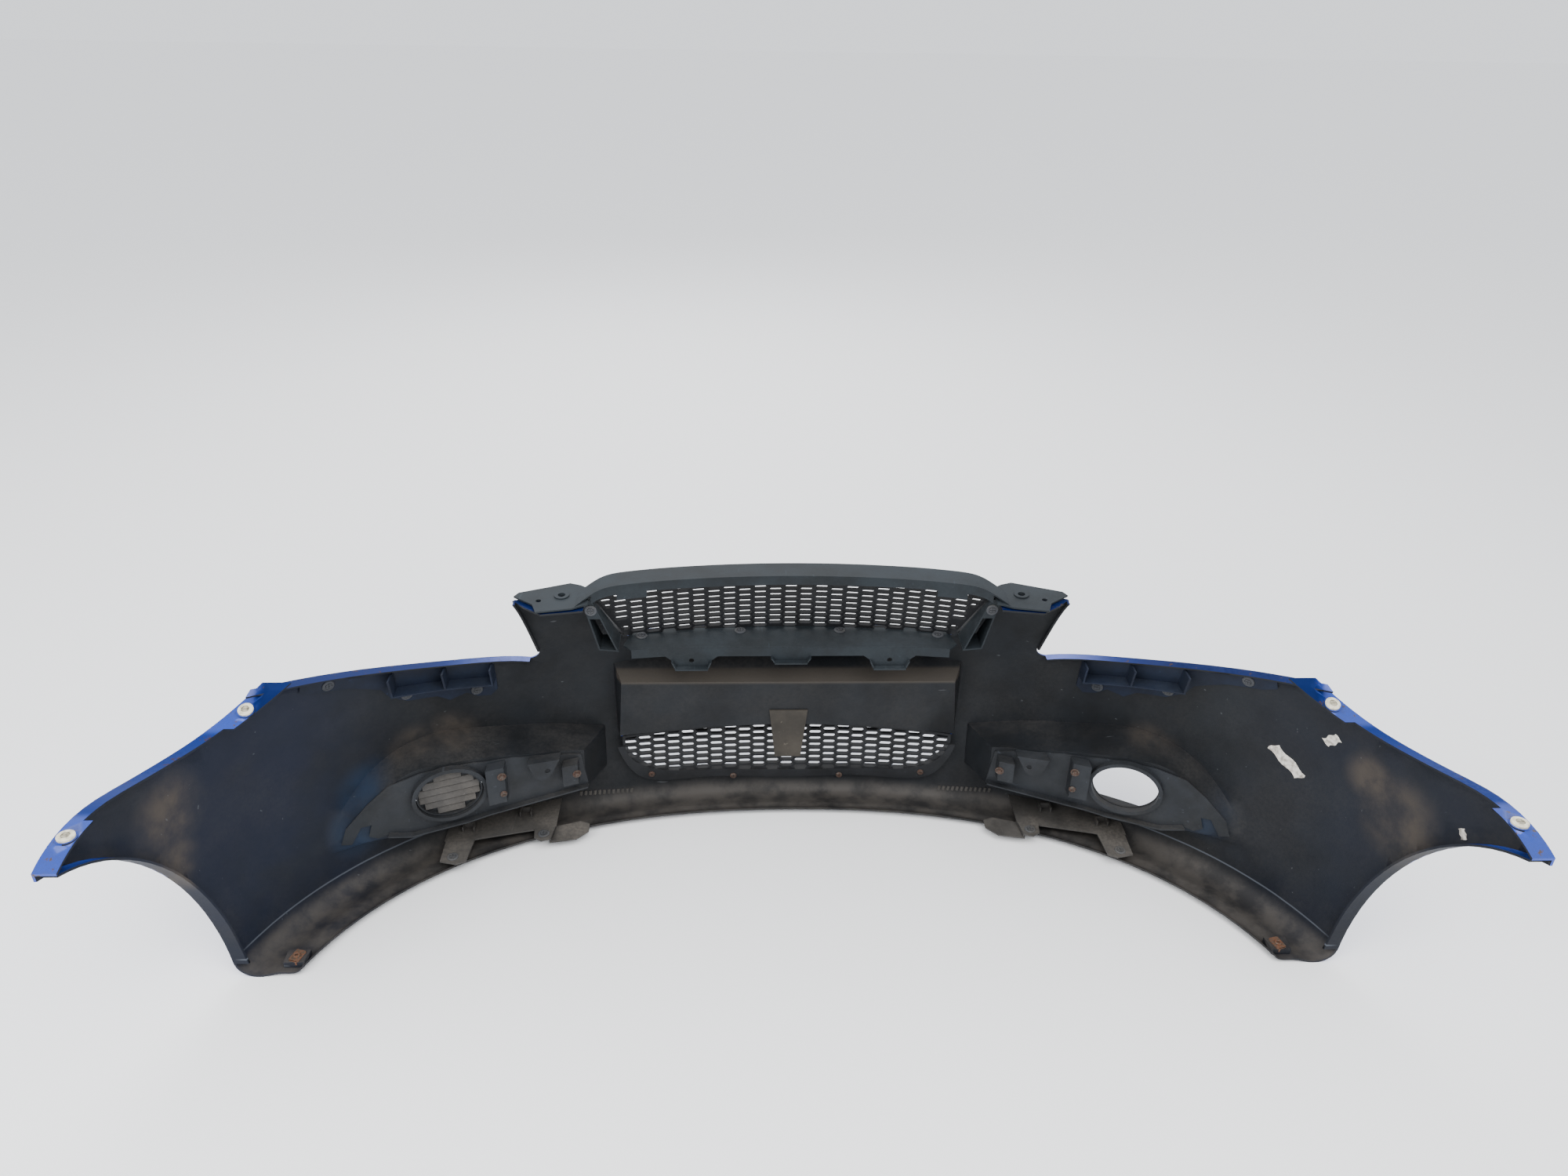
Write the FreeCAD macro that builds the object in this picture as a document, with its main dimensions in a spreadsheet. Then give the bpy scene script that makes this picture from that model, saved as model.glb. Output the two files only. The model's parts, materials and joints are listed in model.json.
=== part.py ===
import FreeCAD, Part
import Sketcher
import math
import os

# Front bumper cover of a small hatchback, with its grilles, brackets and fasteners.
# Axes: +X to the car's left, +Y to the car's rear, +Z up. Outlines are written with Y counted
# back from the foremost point of the nose; every sub-part is then shifted forward by
# half_depth, so that the origin lies under the middle of the cover's box.

Vector = FreeCAD.Vector

DRIVING_DIMENSIONS = [
    ("half_depth", 324.0, "half of the front-to-rear size"),
    ("wing_end", 646.0, "rear end of the wings behind the nose"),
    ("skin_rear", 700.0, "plan curves meet the side planes here"),
    ("plan_power", 2.2, "fullness of the plan curve across the nose"),
    ("side_power", 2.6, "fullness of the plan curve along the sides"),
    ("wall", 3.0, "wall of the moulded cover"),
    ("trim_wall", 2.5, "wall of the smaller mouldings"),
    ("arch_y", 776.0, "wheel arch centre behind the nose"),
    ("arch_z", 61.0, "wheel arch centre height"),
    ("arch_radius", 354.0, "wheel arch radius"),
    ("arch_lip", 18.0, "width of the inward lip of the arch"),
    ("fender_flange", 27.0, "width of the flange under the fender, at its grommets"),
    ("flange_waist", 16.0, "width of that flange between its grommets"),
    ("lamp_lip", 13.0, "width of the lip under the headlamp"),
    ("grille_lip", 16.0, "width of the lip round the grille openings"),
    ("ear_z", 436.0, "top of the cover's ears beside the bonnet"),
    ("plate_back_y", 58.0, "depth of the number-plate recess"),
    ("fog_back_y", 115.0, "back wall of the fog recess at its inner end"),
    ("fog_back_x", 330.0, "inner end of the fog recess"),
    ("fog_back_slope", 0.38, "rise of Y per X along that back wall"),
    ("fog_x", 525.0, "fog-lamp hole centre"),
    ("fog_z", 140.0, "fog-lamp hole centre height"),
    ("fog_half_width", 50.0, "fog-lamp hole, half width"),
    ("fog_half_height", 41.0, "fog-lamp hole, half height"),
    ("mesh_pitch_x", 23.6, "column pitch of both meshes"),
    ("mesh_slot_x", 21.4, "slot length of both meshes"),
    ("upper_pitch_z", 11.6, "slot pitch down the upper mesh"),
    ("upper_slot_z", 8.6, "slot height of the upper mesh"),
    ("lower_pitch_z", 12.9, "slot pitch down the lower mesh"),
    ("lower_slot_z", 9.6, "slot height of the lower mesh"),
    ("mesh_depth", 7.0, "thickness of the mesh panels"),
    ("upper_mesh_y", 29.0, "foot of the upper mesh behind the nose"),
    ("upper_mesh_z", 341.0, "foot of the upper mesh"),
    ("upper_mesh_lean", 15.0, "degrees that the upper mesh leans back"),
    ("upper_mesh_bow", 1300.0, "bow radius of the upper mesh in plan"),
    ("lower_mesh_y", 24.0, "lower mesh behind the nose"),
    ("lower_mesh_bow", 2000.0, "bow radius of the lower mesh in plan"),
    ("shelf_z", 336.2, "underside of the grille shelf"),
    ("shelf_rear", 98.0, "rear edge of the grille shelf"),
    ("tab_spacing", 306.0, "distance between the holes of the outer tabs"),
    ("tab_width", 56.0, "width of a shelf tab"),
    ("tab_drop", 34.0, "drop of a shelf tab"),
    ("tab_hole", 4.0, "radius of a tab hole"),
    ("rail_z", 464.0, "top of the grille's top rail"),
    ("rail_front", 57.0, "front edge of the top rail"),
    ("rail_width", 40.0, "front-to-rear width of the top rail"),
    ("ground_gap", 0.96, "lowest point of the level lines above the ground before it is set down"),
    ("fit_gap", 0.15, "clearance between a fastener and its hole"),
    ("bracket_depth", 24.0, "depth of the headlamp bracket's ribs"),
    ("ear_hole", 4.5, "radius of the large ear hole"),
    ("pin_front_y", 326.0, "front wing grommet"),
    ("pin_front_x", 733.0, "front wing grommet"),
    ("pin_front_z", 389.4, "seat on the flange there"),
    ("pin_front_tilt", 20.0, "degrees that the front grommets lean to the rear"),
    ("pin_rear_y", 598.0, "rear wing grommet"),
    ("pin_rear_x", 831.0, "rear wing grommet"),
    ("pin_rear_z", 411.6, "seat on the flange there"),
    ("pin_rear_tilt", 0.0, "degrees that the rear grommets lean to the rear"),
    ("seat_radius", 12.0, "flat seat round each grommet"),
    ("collar_radius", 10.0, "wing grommet collar"),
    ("collar_height", 3.4, "wing grommet collar"),
    ("shank_radius", 4.8, "wing grommet shank"),
    ("shank_length", 13.0, "wing grommet shank below the flange top"),
    ("flange_hole", 5.0, "radius of the flange holes for the grommets"),
    ("bore_radius", 2.55, "bore of the wing grommet"),
    ("pin_radius", 2.5, "shaft of the expansion pin"),
    ("pin_head_radius", 4.6, "head of the expansion pin"),
    ("pin_head_height", 1.6, "head of the expansion pin"),
    ("head_recess_radius", 5.2, "recess for the head in the collar"),
    ("head_recess_depth", 2.0, "recess for the head in the collar"),
    ("clip_head_radius", 9.0, "push clip head"),
    ("clip_head_height", 2.4, "push clip head"),
    ("clip_shank_radius", 3.4, "push clip shank"),
    ("screw_head_radius", 5.5, "screw head"),
    ("screw_head_height", 2.6, "screw head"),
    ("screw_shank_radius", 2.2, "screw shank"),
]

doc = FreeCAD.newDocument("front_bumper_cover")
sheet = doc.addObject("Spreadsheet::Sheet", "Sizes")
for row, (alias, value, note) in enumerate(DRIVING_DIMENSIONS, start=1):
    sheet.set("A%d" % row, alias)
    sheet.set("B%d" % row, str(value))
    sheet.set("C%d" % row, note)
    sheet.setAlias("B%d" % row, alias)
doc.recompute()

nodes = []


def size(alias):
    return float(getattr(sheet, alias))


def add_node(node):
    """Lists a finished sub-part of the document."""
    nodes.append(node)
    return node


def set_down(node):
    """Moves a shape written from the foremost point of the nose to the cover's own origin."""
    node.setExpression(".Placement.Base.y", "-Sizes.half_depth")
    node.setExpression(".Placement.Base.z", "-Sizes.ground_gap")


def free_form(label, shape):
    """A sub-part whose shape is worked out with Part's functions."""
    node = doc.addObject("Part::Feature", label)
    node.Label = label
    node.Shape = shape
    set_down(node)
    return add_node(node)


def mirrored(shape):
    return shape.mirror(Vector(0, 0, 0), Vector(1, 0, 0))


# ---------------------------------------------------------------- the nose's surface

# Level lines of the outer skin from the rear edge of the bottom return, round the curl and up
# the wall: height, foremost Y and half width.
RETURN_ROWS = [
    (12, 90, 742),
    (6, 70, 767),
    (1.5, 51, 789),
    (3, 34, 807),
]
WALL_ROWS = [
    (14, 23, 822),
    (35, 16, 828),
    (80, 9, 834),
    (140, 3, 840),
    (210, 0, 844),
    (280, 6, 846),
    (340, 24, 848),
    (400, 48, 849),
    (460, 85, 849),
    (520, 130, 849),
]
COLUMNS = 15


def plan_point(row, turn):
    """Point of a level line; turn runs from 0 at the nose to 1 at the side plane."""
    z, front, half_width = row
    angle = abs(turn) * math.pi / 2
    across = math.sin(angle) ** (2 / size("plan_power"))
    back = 1 - max(math.cos(angle), 0.0) ** (2 / size("side_power"))
    x = math.copysign(half_width * across, turn)
    return Vector(x, front + (size("skin_rear") - front) * back, z)


def even_turns(count):
    """Turns that space the columns evenly along the level line of the bumper's widest row."""
    row = WALL_ROWS[4]
    steps = 400
    points = [plan_point(row, i / steps) for i in range(steps + 1)]
    lengths = [0.0]
    for a, b in zip(points, points[1:]):
        lengths.append(lengths[-1] + (b - a).Length)
    turns = []
    reached = 0
    for k in range(count + 1):
        wanted = lengths[-1] * k / count
        while lengths[reached] < wanted - 1e-9:
            reached += 1
        turns.append(reached / steps)
    return [-t for t in turns[:0:-1]] + turns


TURNS = even_turns(COLUMNS)


def offset_surface(rows, depth):
    """B-spline surface through the rows, moved inwards by depth."""
    grid = [[plan_point(row, turn) for turn in TURNS] for row in rows]
    last_row = len(grid) - 1
    last_column = len(TURNS) - 1
    moved = []
    for i, line in enumerate(grid):
        moved_line = []
        for j, point in enumerate(line):
            up = grid[min(i + 1, last_row)][j] - grid[max(i - 1, 0)][j]
            along = line[min(j + 1, last_column)] - line[max(j - 1, 0)]
            inward = up.cross(along)
            inward.normalize()
            moved_line.append(point + inward * depth)
        moved.append(moved_line)
    surface = Part.BSplineSurface()
    surface.interpolate(moved)
    return surface


def sewn_solid(faces):
    shell = Part.makeShell(faces)
    shell.sewShape()
    solid = Part.makeSolid(Part.Shell(shell.Faces))
    if solid.Volume < 0:
        solid.reverse()
    return solid


def shell_between(rows, outer_depth, inner_depth):
    """Closed solid between two offsets of the nose's surface."""
    outer = offset_surface(rows, outer_depth)
    inner = offset_surface(rows, inner_depth)
    faces = [outer.toShape(), inner.toShape()]
    u0, u1, v0, v1 = outer.bounds()
    for pick in (("u", u0), ("u", u1), ("v", v0), ("v", v1)):
        kind, value = pick
        curves = []
        for surface in (outer, inner):
            curve = surface.uIso(value) if kind == "u" else surface.vIso(value)
            curves.append(curve.toShape())
        faces.append(Part.makeRuledSurface(curves[0], curves[1]))
    return sewn_solid(faces)


def skin_y(x, z):
    """Y of the outer skin, from the level lines on either side of z."""
    rows = WALL_ROWS
    for low, high in zip(rows, rows[1:]):
        if z <= high[0]:
            break
    share = min(max((z - low[0]) / (high[0] - low[0]), 0.0), 1.0)
    front = low[1] + share * (high[1] - low[1])
    half_width = low[2] + share * (high[2] - low[2])
    across = min(abs(x) / half_width, 0.9999) ** size("plan_power")
    return front + (size("skin_rear") - front) * (1 - (1 - across) ** (1 / size("side_power")))


# ---------------------------------------------------------------- prisms and strips


def polygon(points):
    return Part.makePolygon(points + [points[0]])


def spline(points):
    curve = Part.BSplineCurve()
    curve.interpolate(points)
    return curve.toShape()


def front_prism(outline, y0, y1):
    """Prism along Y over an outline of (x, z) points."""
    wire = polygon([Vector(x, y0, z) for x, z in outline])
    return Part.Face(wire).extrude(Vector(0, y1 - y0, 0))


def plan_prism(outline, z0, z1):
    """Prism along Z over an outline of (x, y) points."""
    wire = polygon([Vector(x, y, z0) for x, y in outline])
    return Part.Face(wire).extrude(Vector(0, 0, z1 - z0))


def box(x0, x1, y0, y1, z0, z1):
    return Part.makeBox(x1 - x0, y1 - y0, z1 - z0, Vector(x0, y0, z0))


def strip(points, shift, direction):
    """Solid strip: the band between a curve and its shifted copy, run along direction."""
    face = Part.makeRuledSurface(spline(points), spline([p + shift for p in points]))
    return face.extrude(direction)


def curved_prism(points, closing, direction):
    """Prism over the area between a curve and the straight lines through the closing points."""
    lines = [points[-1]] + closing + [points[0]]
    edges = [spline(points)]
    for a, b in zip(lines, lines[1:]):
        edges.append(Part.makeLine(a, b))
    return Part.Face(Part.Wire(edges)).extrude(direction)


def join(base, pieces):
    """Fuses pieces onto a base and keeps one solid where they meet."""
    result = base
    for piece in pieces:
        result = result.fuse(piece)
    return result


# ---------------------------------------------------------------- the cover

SKIN = shell_between(RETURN_ROWS + WALL_ROWS, 0.0, size("wall"))
INSIDE = shell_between(WALL_ROWS, size("wall") / 2, 190.0)


def inner_band(depth):
    """Space from mid-wall to a depth behind the skin, for lips and flanges."""
    return shell_between(WALL_ROWS, size("wall") / 2, depth)


LAMP_EDGE = [
    (404, 304), (434, 314), (487, 326), (538, 338), (586, 352), (631, 367), (672, 382),
    (707, 396), (731, 408),
]
HORN_EDGE = [(412, 445), (401, 391), (395, 353), (390, 322)]
FENDER_EDGE = [
    (290, 409), (315, 392), (366, 378), (420, 380), (478, 391), (540, 406), (600, 410),
    (648, 401),
]


def side_cuts():
    """Everything cut away on the car's left: headlamp, fender, wheel arch and wing end."""
    lamp = [Vector(x, -50, z) for x, z in LAMP_EDGE]
    horn = [Vector(x, -50, z) for x, z in HORN_EDGE]
    high = 620.0
    edges = [
        spline(horn),
        Part.Arc(horn[-1], Vector(392, -50, 309), lamp[0]).toShape(),
        spline(lamp),
        Part.makeLine(lamp[-1], Vector(780, -50, 408)),
        Part.makeLine(Vector(780, -50, 408), Vector(780, -50, high)),
        Part.makeLine(Vector(780, -50, high), Vector(412, -50, high)),
        Part.makeLine(Vector(412, -50, high), horn[0]),
    ]
    headlamp = Part.Face(Part.Wire(edges)).extrude(Vector(0, 340, 0))
    fender_line = [Vector(640, y, z) for y, z in FENDER_EDGE]
    front_y = FENDER_EDGE[0][0]
    fender = curved_prism(
        fender_line,
        [Vector(640, 760, 401), Vector(640, 760, high), Vector(640, front_y, high)],
        Vector(260, 0, 0),
    )
    arch_centre = Vector(560, size("arch_y"), size("arch_z"))
    arch = Part.makeCylinder(size("arch_radius"), 400, arch_centre, Vector(1, 0, 0))
    ending = box(600, 900, size("wing_end"), 800, 300, high)
    return [headlamp, fender, arch, ending]


# X, Y and radius of the two holes through each ear.
EAR_HOLES = [(340.0, 116.0, size("ear_hole")), (372.0, 130.0, 3.0)]


def pin_seat(place):
    """Seat and axis of the left grommet at the front or rear of the fender flange."""
    tilt = math.radians(size("pin_%s_tilt" % place))
    seat = Vector(size("pin_%s_x" % place), size("pin_%s_y" % place), size("pin_%s_z" % place))
    return seat, Vector(0, math.sin(tilt), math.cos(tilt))


def side_flanges():
    """Flanges and lips on the car's left."""
    thick = size("wall")
    low = Vector(0, 0, -thick)
    fender_line = [Vector(640, y, z) for y, z in FENDER_EDGE]
    fender = strip(fender_line, low, Vector(260, 0, 0))
    fender = fender.common(box(600, 900, 285, size("wing_end"), 300, 500))
    waist = fender.common(inner_band(size("flange_waist")))
    wide = fender.common(inner_band(size("fender_flange")))
    front_pad = wide.common(box(600, 900, 285, 354, 300, 500))
    rear_pad = wide.common(box(600, 900, 568, size("wing_end"), 300, 500))
    lamp_line = [Vector(x, -50, z) for x, z in LAMP_EDGE]
    lamp_band = inner_band(size("lamp_lip"))
    lamp = strip(lamp_line, low, Vector(0, 400, 0)).common(lamp_band)
    horn_line = [Vector(x, -50, z) for x, z in HORN_EDGE]
    horn = strip(horn_line, Vector(-thick, 0, 0), Vector(0, 400, 0)).common(lamp_band)
    horn = horn.common(box(300, 500, -60, 400, 300, size("ear_z")))
    centre = Vector(560, size("arch_y"), size("arch_z"))
    ring = Part.makeCylinder(size("arch_radius") + thick, 400, centre, Vector(1, 0, 0))
    ring = ring.cut(Part.makeCylinder(size("arch_radius"), 400, centre, Vector(1, 0, 0)))
    ring = ring.common(box(600, 900, 300, size("wing_end") - 12, 24, 600))
    arch = ring.common(inner_band(size("arch_lip")))
    ear_outline = [
        (306, 78), (330, 70), (414, 100), (414, 118), (392, 140), (366, 160), (306, 150),
    ]
    ear_top = size("ear_z")
    ear = plan_prism(ear_outline, ear_top - thick, ear_top).common(INSIDE)
    for x, y, radius in EAR_HOLES:
        ear = ear.cut(Part.makeCylinder(radius, 30, Vector(x, y, ear_top - 15)))
    return [waist, front_pad, rear_pad, lamp, horn, arch, ear]


# Fog recess: pairs of outline points, on the skin and on the back wall, both chains running
# outwards from the recess's inner end.
FOG_ROOF = [
    ((303, 146), (328, 158)),
    ((350, 157), (362, 166)),
    ((398, 168), (400, 172)),
    ((445, 177), (440, 180)),
    ((492, 187), (480, 186)),
    ((545, 198), (530, 190)),
    ((598, 194), (573, 187)),
    ((638, 174), (604, 168)),
    ((666, 148), (626, 144)),
    ((690, 113), (646, 112)),
    ((700, 90), (655, 92)),
]
FOG_FLOOR = [
    ((303, 74), (330, 86)),
    ((450, 64), (450, 80)),
    ((600, 64), (580, 80)),
    ((698, 74), (652, 82)),
]


def fog_back_y(x):
    return size("fog_back_y") + (x - size("fog_back_x")) * size("fog_back_slope")


def fog_solid(growth, extra_depth, reach):
    """Tapered plug of the fog recess, grown sideways and lengthened at both ends."""
    middle_x = 500.0
    middle_z = 130.0

    def grown(x, z):
        # The outline is about 400 long and 130 high, so each direction has its own scale.
        wide = 1 + growth / 200.0
        tall = 1 + growth / 62.0
        return middle_x + (x - middle_x) * wide, middle_z + (z - middle_z) * tall

    front = []
    back = []
    for chain in (FOG_ROOF, FOG_FLOOR):
        front_line = []
        back_line = []
        for skin_point, back_point in chain:
            ax, az = grown(*skin_point)
            bx, bz = grown(*back_point)
            a = Vector(ax, skin_y(ax, az), az)
            b = Vector(bx, fog_back_y(bx) + extra_depth, bz)
            front_line.append(a + (a - b) * reach)
            back_line.append(b)
        front.append(front_line)
        back.append(back_line)
    rims = []
    for roof, floor in (front, back):
        rims.append([
            spline(roof),
            spline(floor),
            Part.makeLine(roof[0], floor[0]),
            Part.makeLine(roof[-1], floor[-1]),
        ])
    faces = [Part.makeRuledSurface(a, b) for a, b in zip(*rims)]
    faces += [Part.makeRuledSurface(rim[0], rim[1]) for rim in rims]
    return sewn_solid(faces)


def plate_solid(growth, extra_depth, reach):
    """Tapered plug of the number-plate recess."""
    back_y = size("plate_back_y") + extra_depth
    corners = {
        "front": [(-286, 276), (286, 276), (281, 134), (-281, 134)],
        "back": [(-264, 247), (264, 247), (271, 148), (-271, 148)],
    }
    sag = {"front": 147, "back": 170}
    rings = []
    for end in ("front", "back"):
        points = []
        for (x, z), (bx, bz) in zip(corners["front"], corners["back"]):
            side = math.copysign(growth, x)
            rise = growth if z > 200 else -growth
            a = Vector(x + side, 12, z + rise)
            b = Vector(bx + side, back_y, bz + rise)
            points.append(a + (a - b) * reach if end == "front" else b)
        middle = Vector(0, points[2].y, sag[end] - growth)
        edges = [
            Part.makeLine(points[0], points[1]),
            Part.makeLine(points[1], points[2]),
            spline([points[2], middle, points[3]]),
            Part.makeLine(points[3], points[0]),
        ]
        rings.append(Part.Wire(edges))
    return Part.makeLoft(rings, True, True)


UPPER_OPENING = [(-306, 620), (-306, 442), (-268, 350), (-254, 336), (254, 336), (268, 350),
                 (306, 442), (306, 620)]


def lower_opening(growth, y0, y1, rise=0.0):
    """Prism of the lower grille opening, grown sideways, with its top edge raised by rise."""
    wide = 272 + growth
    high = growth + rise
    top = [Vector(x, y0, z + high) for x, z in ((-wide, 126), (0, 139), (wide, 126))]
    foot = [
        Vector(x, y0, z)
        for x, z in (
            (wide, 126 + high), (258 + growth, 84), (236 + growth, 64 - growth),
            (150, 52 - growth), (0, 47 - growth), (-150, 52 - growth),
            (-236 - growth, 64 - growth), (-258 - growth, 84), (-wide, 126 + high),
        )
    ]
    wire = Part.Wire([spline(top), spline(foot)])
    return Part.Face(wire).extrude(Vector(0, y1 - y0, 0))


def oval_prism(half_width, half_height, y0, y1):
    """Rounded opening of the fog lamp as a prism along the recess's depth."""
    ellipse = Part.Ellipse(Vector(0, 0, 0), half_width, half_height)
    face = Part.Face(Part.Wire([ellipse.toShape()]))
    prism = face.extrude(Vector(0, 0, y1 - y0))
    # Stand the prism up so that its axis is square to the back wall.
    turn = math.degrees(math.atan(size("fog_back_slope")))
    prism.rotate(Vector(0, 0, 0), Vector(1, 0, 0), -90)
    prism.translate(Vector(0, y0, 0))
    prism.rotate(Vector(0, 0, 0), Vector(0, 0, 1), turn)
    prism.translate(Vector(size("fog_x"), fog_back_y(size("fog_x")), size("fog_z")))
    return prism


NUT_PAD_TOP = 19.0
NUT_X = 708.0
NUT_Y = 407.0
NUT_TURN = 18.0


def nut_pad():
    """Raised pad on the bottom return's end, where the spring nut sits."""
    return plan_prism([(692, 394), (724, 394), (724, 418), (696, 418)], 9.5, NUT_PAD_TOP)


def bumper_cover():
    cover = SKIN
    for cut in side_cuts():
        cover = cover.cut(cut)
        cover = cover.cut(mirrored(cut))
    cover = cover.cut(box(-420, 420, -60, 300, size("ear_z"), 620))
    cover = cover.cut(front_prism(UPPER_OPENING, -60, 300))
    wall = size("wall")
    fog_plug = fog_solid(wall, wall, 0.3).common(INSIDE)
    fog_void = fog_solid(0.0, 0.0, 0.5)
    plate_plug = plate_solid(wall, wall, 0.3).common(INSIDE)
    plate_void = plate_solid(0.0, 0.0, 0.8)
    plugs = [fog_plug, mirrored(fog_plug), plate_plug]
    cover = join(cover, plugs)
    flanges = side_flanges()
    lip_band = inner_band(size("grille_lip"))
    lower_ring = lower_opening(wall, -60, 120).cut(lower_opening(0.0, -60, 120))
    lower_lip = lower_ring.common(inner_band(size("grille_lip") - 3.0))
    inner_outline = UPPER_OPENING
    outer_outline = [(x * 1.011, z - wall * (z < 400)) for x, z in inner_outline]
    upper_ring = front_prism(outer_outline, -60, 300).cut(front_prism(inner_outline, -60, 300))
    upper_ring = upper_ring.cut(box(-420, 420, -60, 300, size("ear_z"), 640))
    upper_lip = upper_ring.common(lip_band)
    for flange in flanges:
        cover = cover.fuse(flange)
        cover = cover.fuse(mirrored(flange))
    cover = join(cover, [lower_lip, upper_lip])
    fog_hole = oval_prism(size("fog_half_width"), size("fog_half_height"), -20, 20)
    pins = []
    for place in ("front", "rear"):
        seat, axis = pin_seat(place)
        pad = Part.makeCylinder(size("seat_radius"), 3.5, seat - axis * 3.5, axis)
        cover = cover.fuse(pad).fuse(mirrored(pad))
        pins.append(Part.makeCylinder(size("flange_hole"), 40, seat - axis * 20, axis))
    voids = [fog_void, mirrored(fog_void), fog_hole, mirrored(fog_hole), plate_void]
    voids += pins + [mirrored(p) for p in pins]
    voids.append(lower_opening(0.0, -60, 50))
    for void in voids:
        cover = cover.cut(void)
    cover = cover.fuse(nut_pad()).fuse(mirrored(nut_pad()))
    bolt_hole = Part.makeCylinder(3.3, 60, Vector(NUT_X, NUT_Y, -20))
    cover = cover.cut(bolt_hole).cut(mirrored(bolt_hole))
    return max(cover.Solids, key=lambda solid: solid.Volume)


# ---------------------------------------------------------------- places of the fasteners


def inward_at(x, z):
    """Unit direction into the car, square to the skin."""
    step = 2.0
    slope_x = (skin_y(x + step, z) - skin_y(x - step, z)) / (2 * step)
    slope_z = (skin_y(x, z + step) - skin_y(x, z - step)) / (2 * step)
    direction = Vector(-slope_x, 1, -slope_z)
    direction.normalize()
    return direction


def on_skin(x, z, depth):
    """Point and direction behind the skin at a depth."""
    inward = inward_at(x, z)
    return Vector(x, skin_y(x, z), z) + inward * depth, inward


def on_fog_wall(x, z, depth):
    """Point and direction behind the back wall of the fog recess."""
    slope = size("fog_back_slope")
    inward = Vector(-slope, 1, 0)
    inward.normalize()
    return Vector(x, fog_back_y(x), z) + inward * depth, inward


UP = Vector(0, 0, 1)
REARWARD = Vector(0, 1, 0)


def flip(place):
    point, direction = place
    return Vector(-point.x, point.y, point.z), Vector(-direction.x, direction.y, direction.z)


def hole_at(place, radius, length=40.0):
    """Cylinder for a through hole, centred on a fastener's seat."""
    point, direction = place
    return Part.makeCylinder(radius, length, point - direction * (length / 2), direction)


def with_holes(shape, places, radius):
    for place in places:
        shape = shape.cut(hole_at(place, radius + size("fit_gap")))
    return shape


def lower_bow(x):
    return x * x / (2 * size("lower_mesh_bow"))


def bow_normal(x):
    direction = Vector(-x / size("lower_mesh_bow"), 1, 0)
    direction.normalize()
    return direction


SHELF_TOP = size("shelf_z") + size("trim_wall")
SHELF_CLIPS = [
    (Vector(x, y, SHELF_TOP), UP) for x, y in ((231, 63), (78, 48), (-78, 48), (-231, 63))
]
FRAME_REAR = size("lower_mesh_y") + size("mesh_depth") + 2.7
FRAME_SCREWS = [
    (Vector(x, FRAME_REAR + lower_bow(x), z), bow_normal(x))
    for x, z in ((227, 54.5), (90, 41.5), (-90, 41.5), (-227, 54.5))
]
CHEEK_REAR = 112.5
CHEEK_CLIPS = [(Vector(x, CHEEK_REAR, 414), REARWARD) for x in (300, -300)]
BRACKET_DEPTH = size("wall") + 0.1
BRACKET_CLIPS = [
    on_skin(x, z, BRACKET_DEPTH + size("trim_wall")) for x, z in ((580, 292), (488, 264), (663, 361))
]
FOG_WALL_DEPTH = size("wall") + 0.1
POST_DEPTH = FOG_WALL_DEPTH + 20.0
BEZEL_SCREWS = [on_fog_wall(x, z, POST_DEPTH) for x, z in ((453, 160), (453, 127), (345, 132))]
TRAY_Z = 23.0
TRAY_TOP = TRAY_Z + size("trim_wall")
TRAY_CLIPS = [(Vector(x, y, TRAY_TOP), UP) for x, y in ((394, 160), (528, 212))]

# ---------------------------------------------------------------- sub-parts: cover and grilles

free_form("bumper_cover", bumper_cover())


def bowed_plate(half_width, bow_radius, y0, y1, z0, z1):
    """Plate whose plan is a band between two arcs of one centre, foremost at X = 0."""
    sag = half_width * half_width / (2 * bow_radius)
    arcs = []
    for y in (y0, y1):
        ends = [Vector(-half_width, y + sag, z0), Vector(half_width, y + sag, z0)]
        arcs.append(Part.Arc(ends[0], Vector(0, y, z0), ends[1]).toShape())
    face = Part.makeRuledSurface(arcs[0], arcs[1])
    return face.extrude(Vector(0, 0, z1 - z0))


def slot_outline(centre_x, centre_z, slot_z):
    """Slot with clipped corners, as points of (x, z)."""
    a = size("mesh_slot_x") / 2
    b = slot_z / 2
    corner_x = 3.2
    corner_z = b * 0.62
    return [
        (centre_x - a, centre_z - b + corner_z), (centre_x - a + corner_x, centre_z - b),
        (centre_x + a - corner_x, centre_z - b), (centre_x + a, centre_z - b + corner_z),
        (centre_x + a, centre_z + b - corner_z), (centre_x + a - corner_x, centre_z + b),
        (centre_x - a + corner_x, centre_z + b), (centre_x - a, centre_z + b - corner_z),
    ]


def slotted_face(outline, rim, pitch_z, slot_z, top, bottom):
    """Flat face over an outline with staggered slots, kept a rim away from its edge."""
    plate = Part.Face(outline)
    inner = Part.Face(outline.makeOffset2D(-rim)) if rim else plate
    slots = []
    columns = 13
    pitch_x = size("mesh_pitch_x")
    for column in range(-columns, columns + 1):
        offset = pitch_z / 2 if column % 2 else 0.0
        rows = int((top - bottom) / pitch_z) + 2
        for level in range(rows):
            centre_z = bottom + offset + level * pitch_z
            corners = slot_outline(column * pitch_x, centre_z, slot_z)
            slot = Part.Face(polygon([Vector(x, 0, z) for x, z in corners]))
            kept = slot.common(inner)
            if kept.Area > 0.3 * slot.Area:
                slots += kept.Faces
    return plate.cut(Part.makeCompound(slots))


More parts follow.
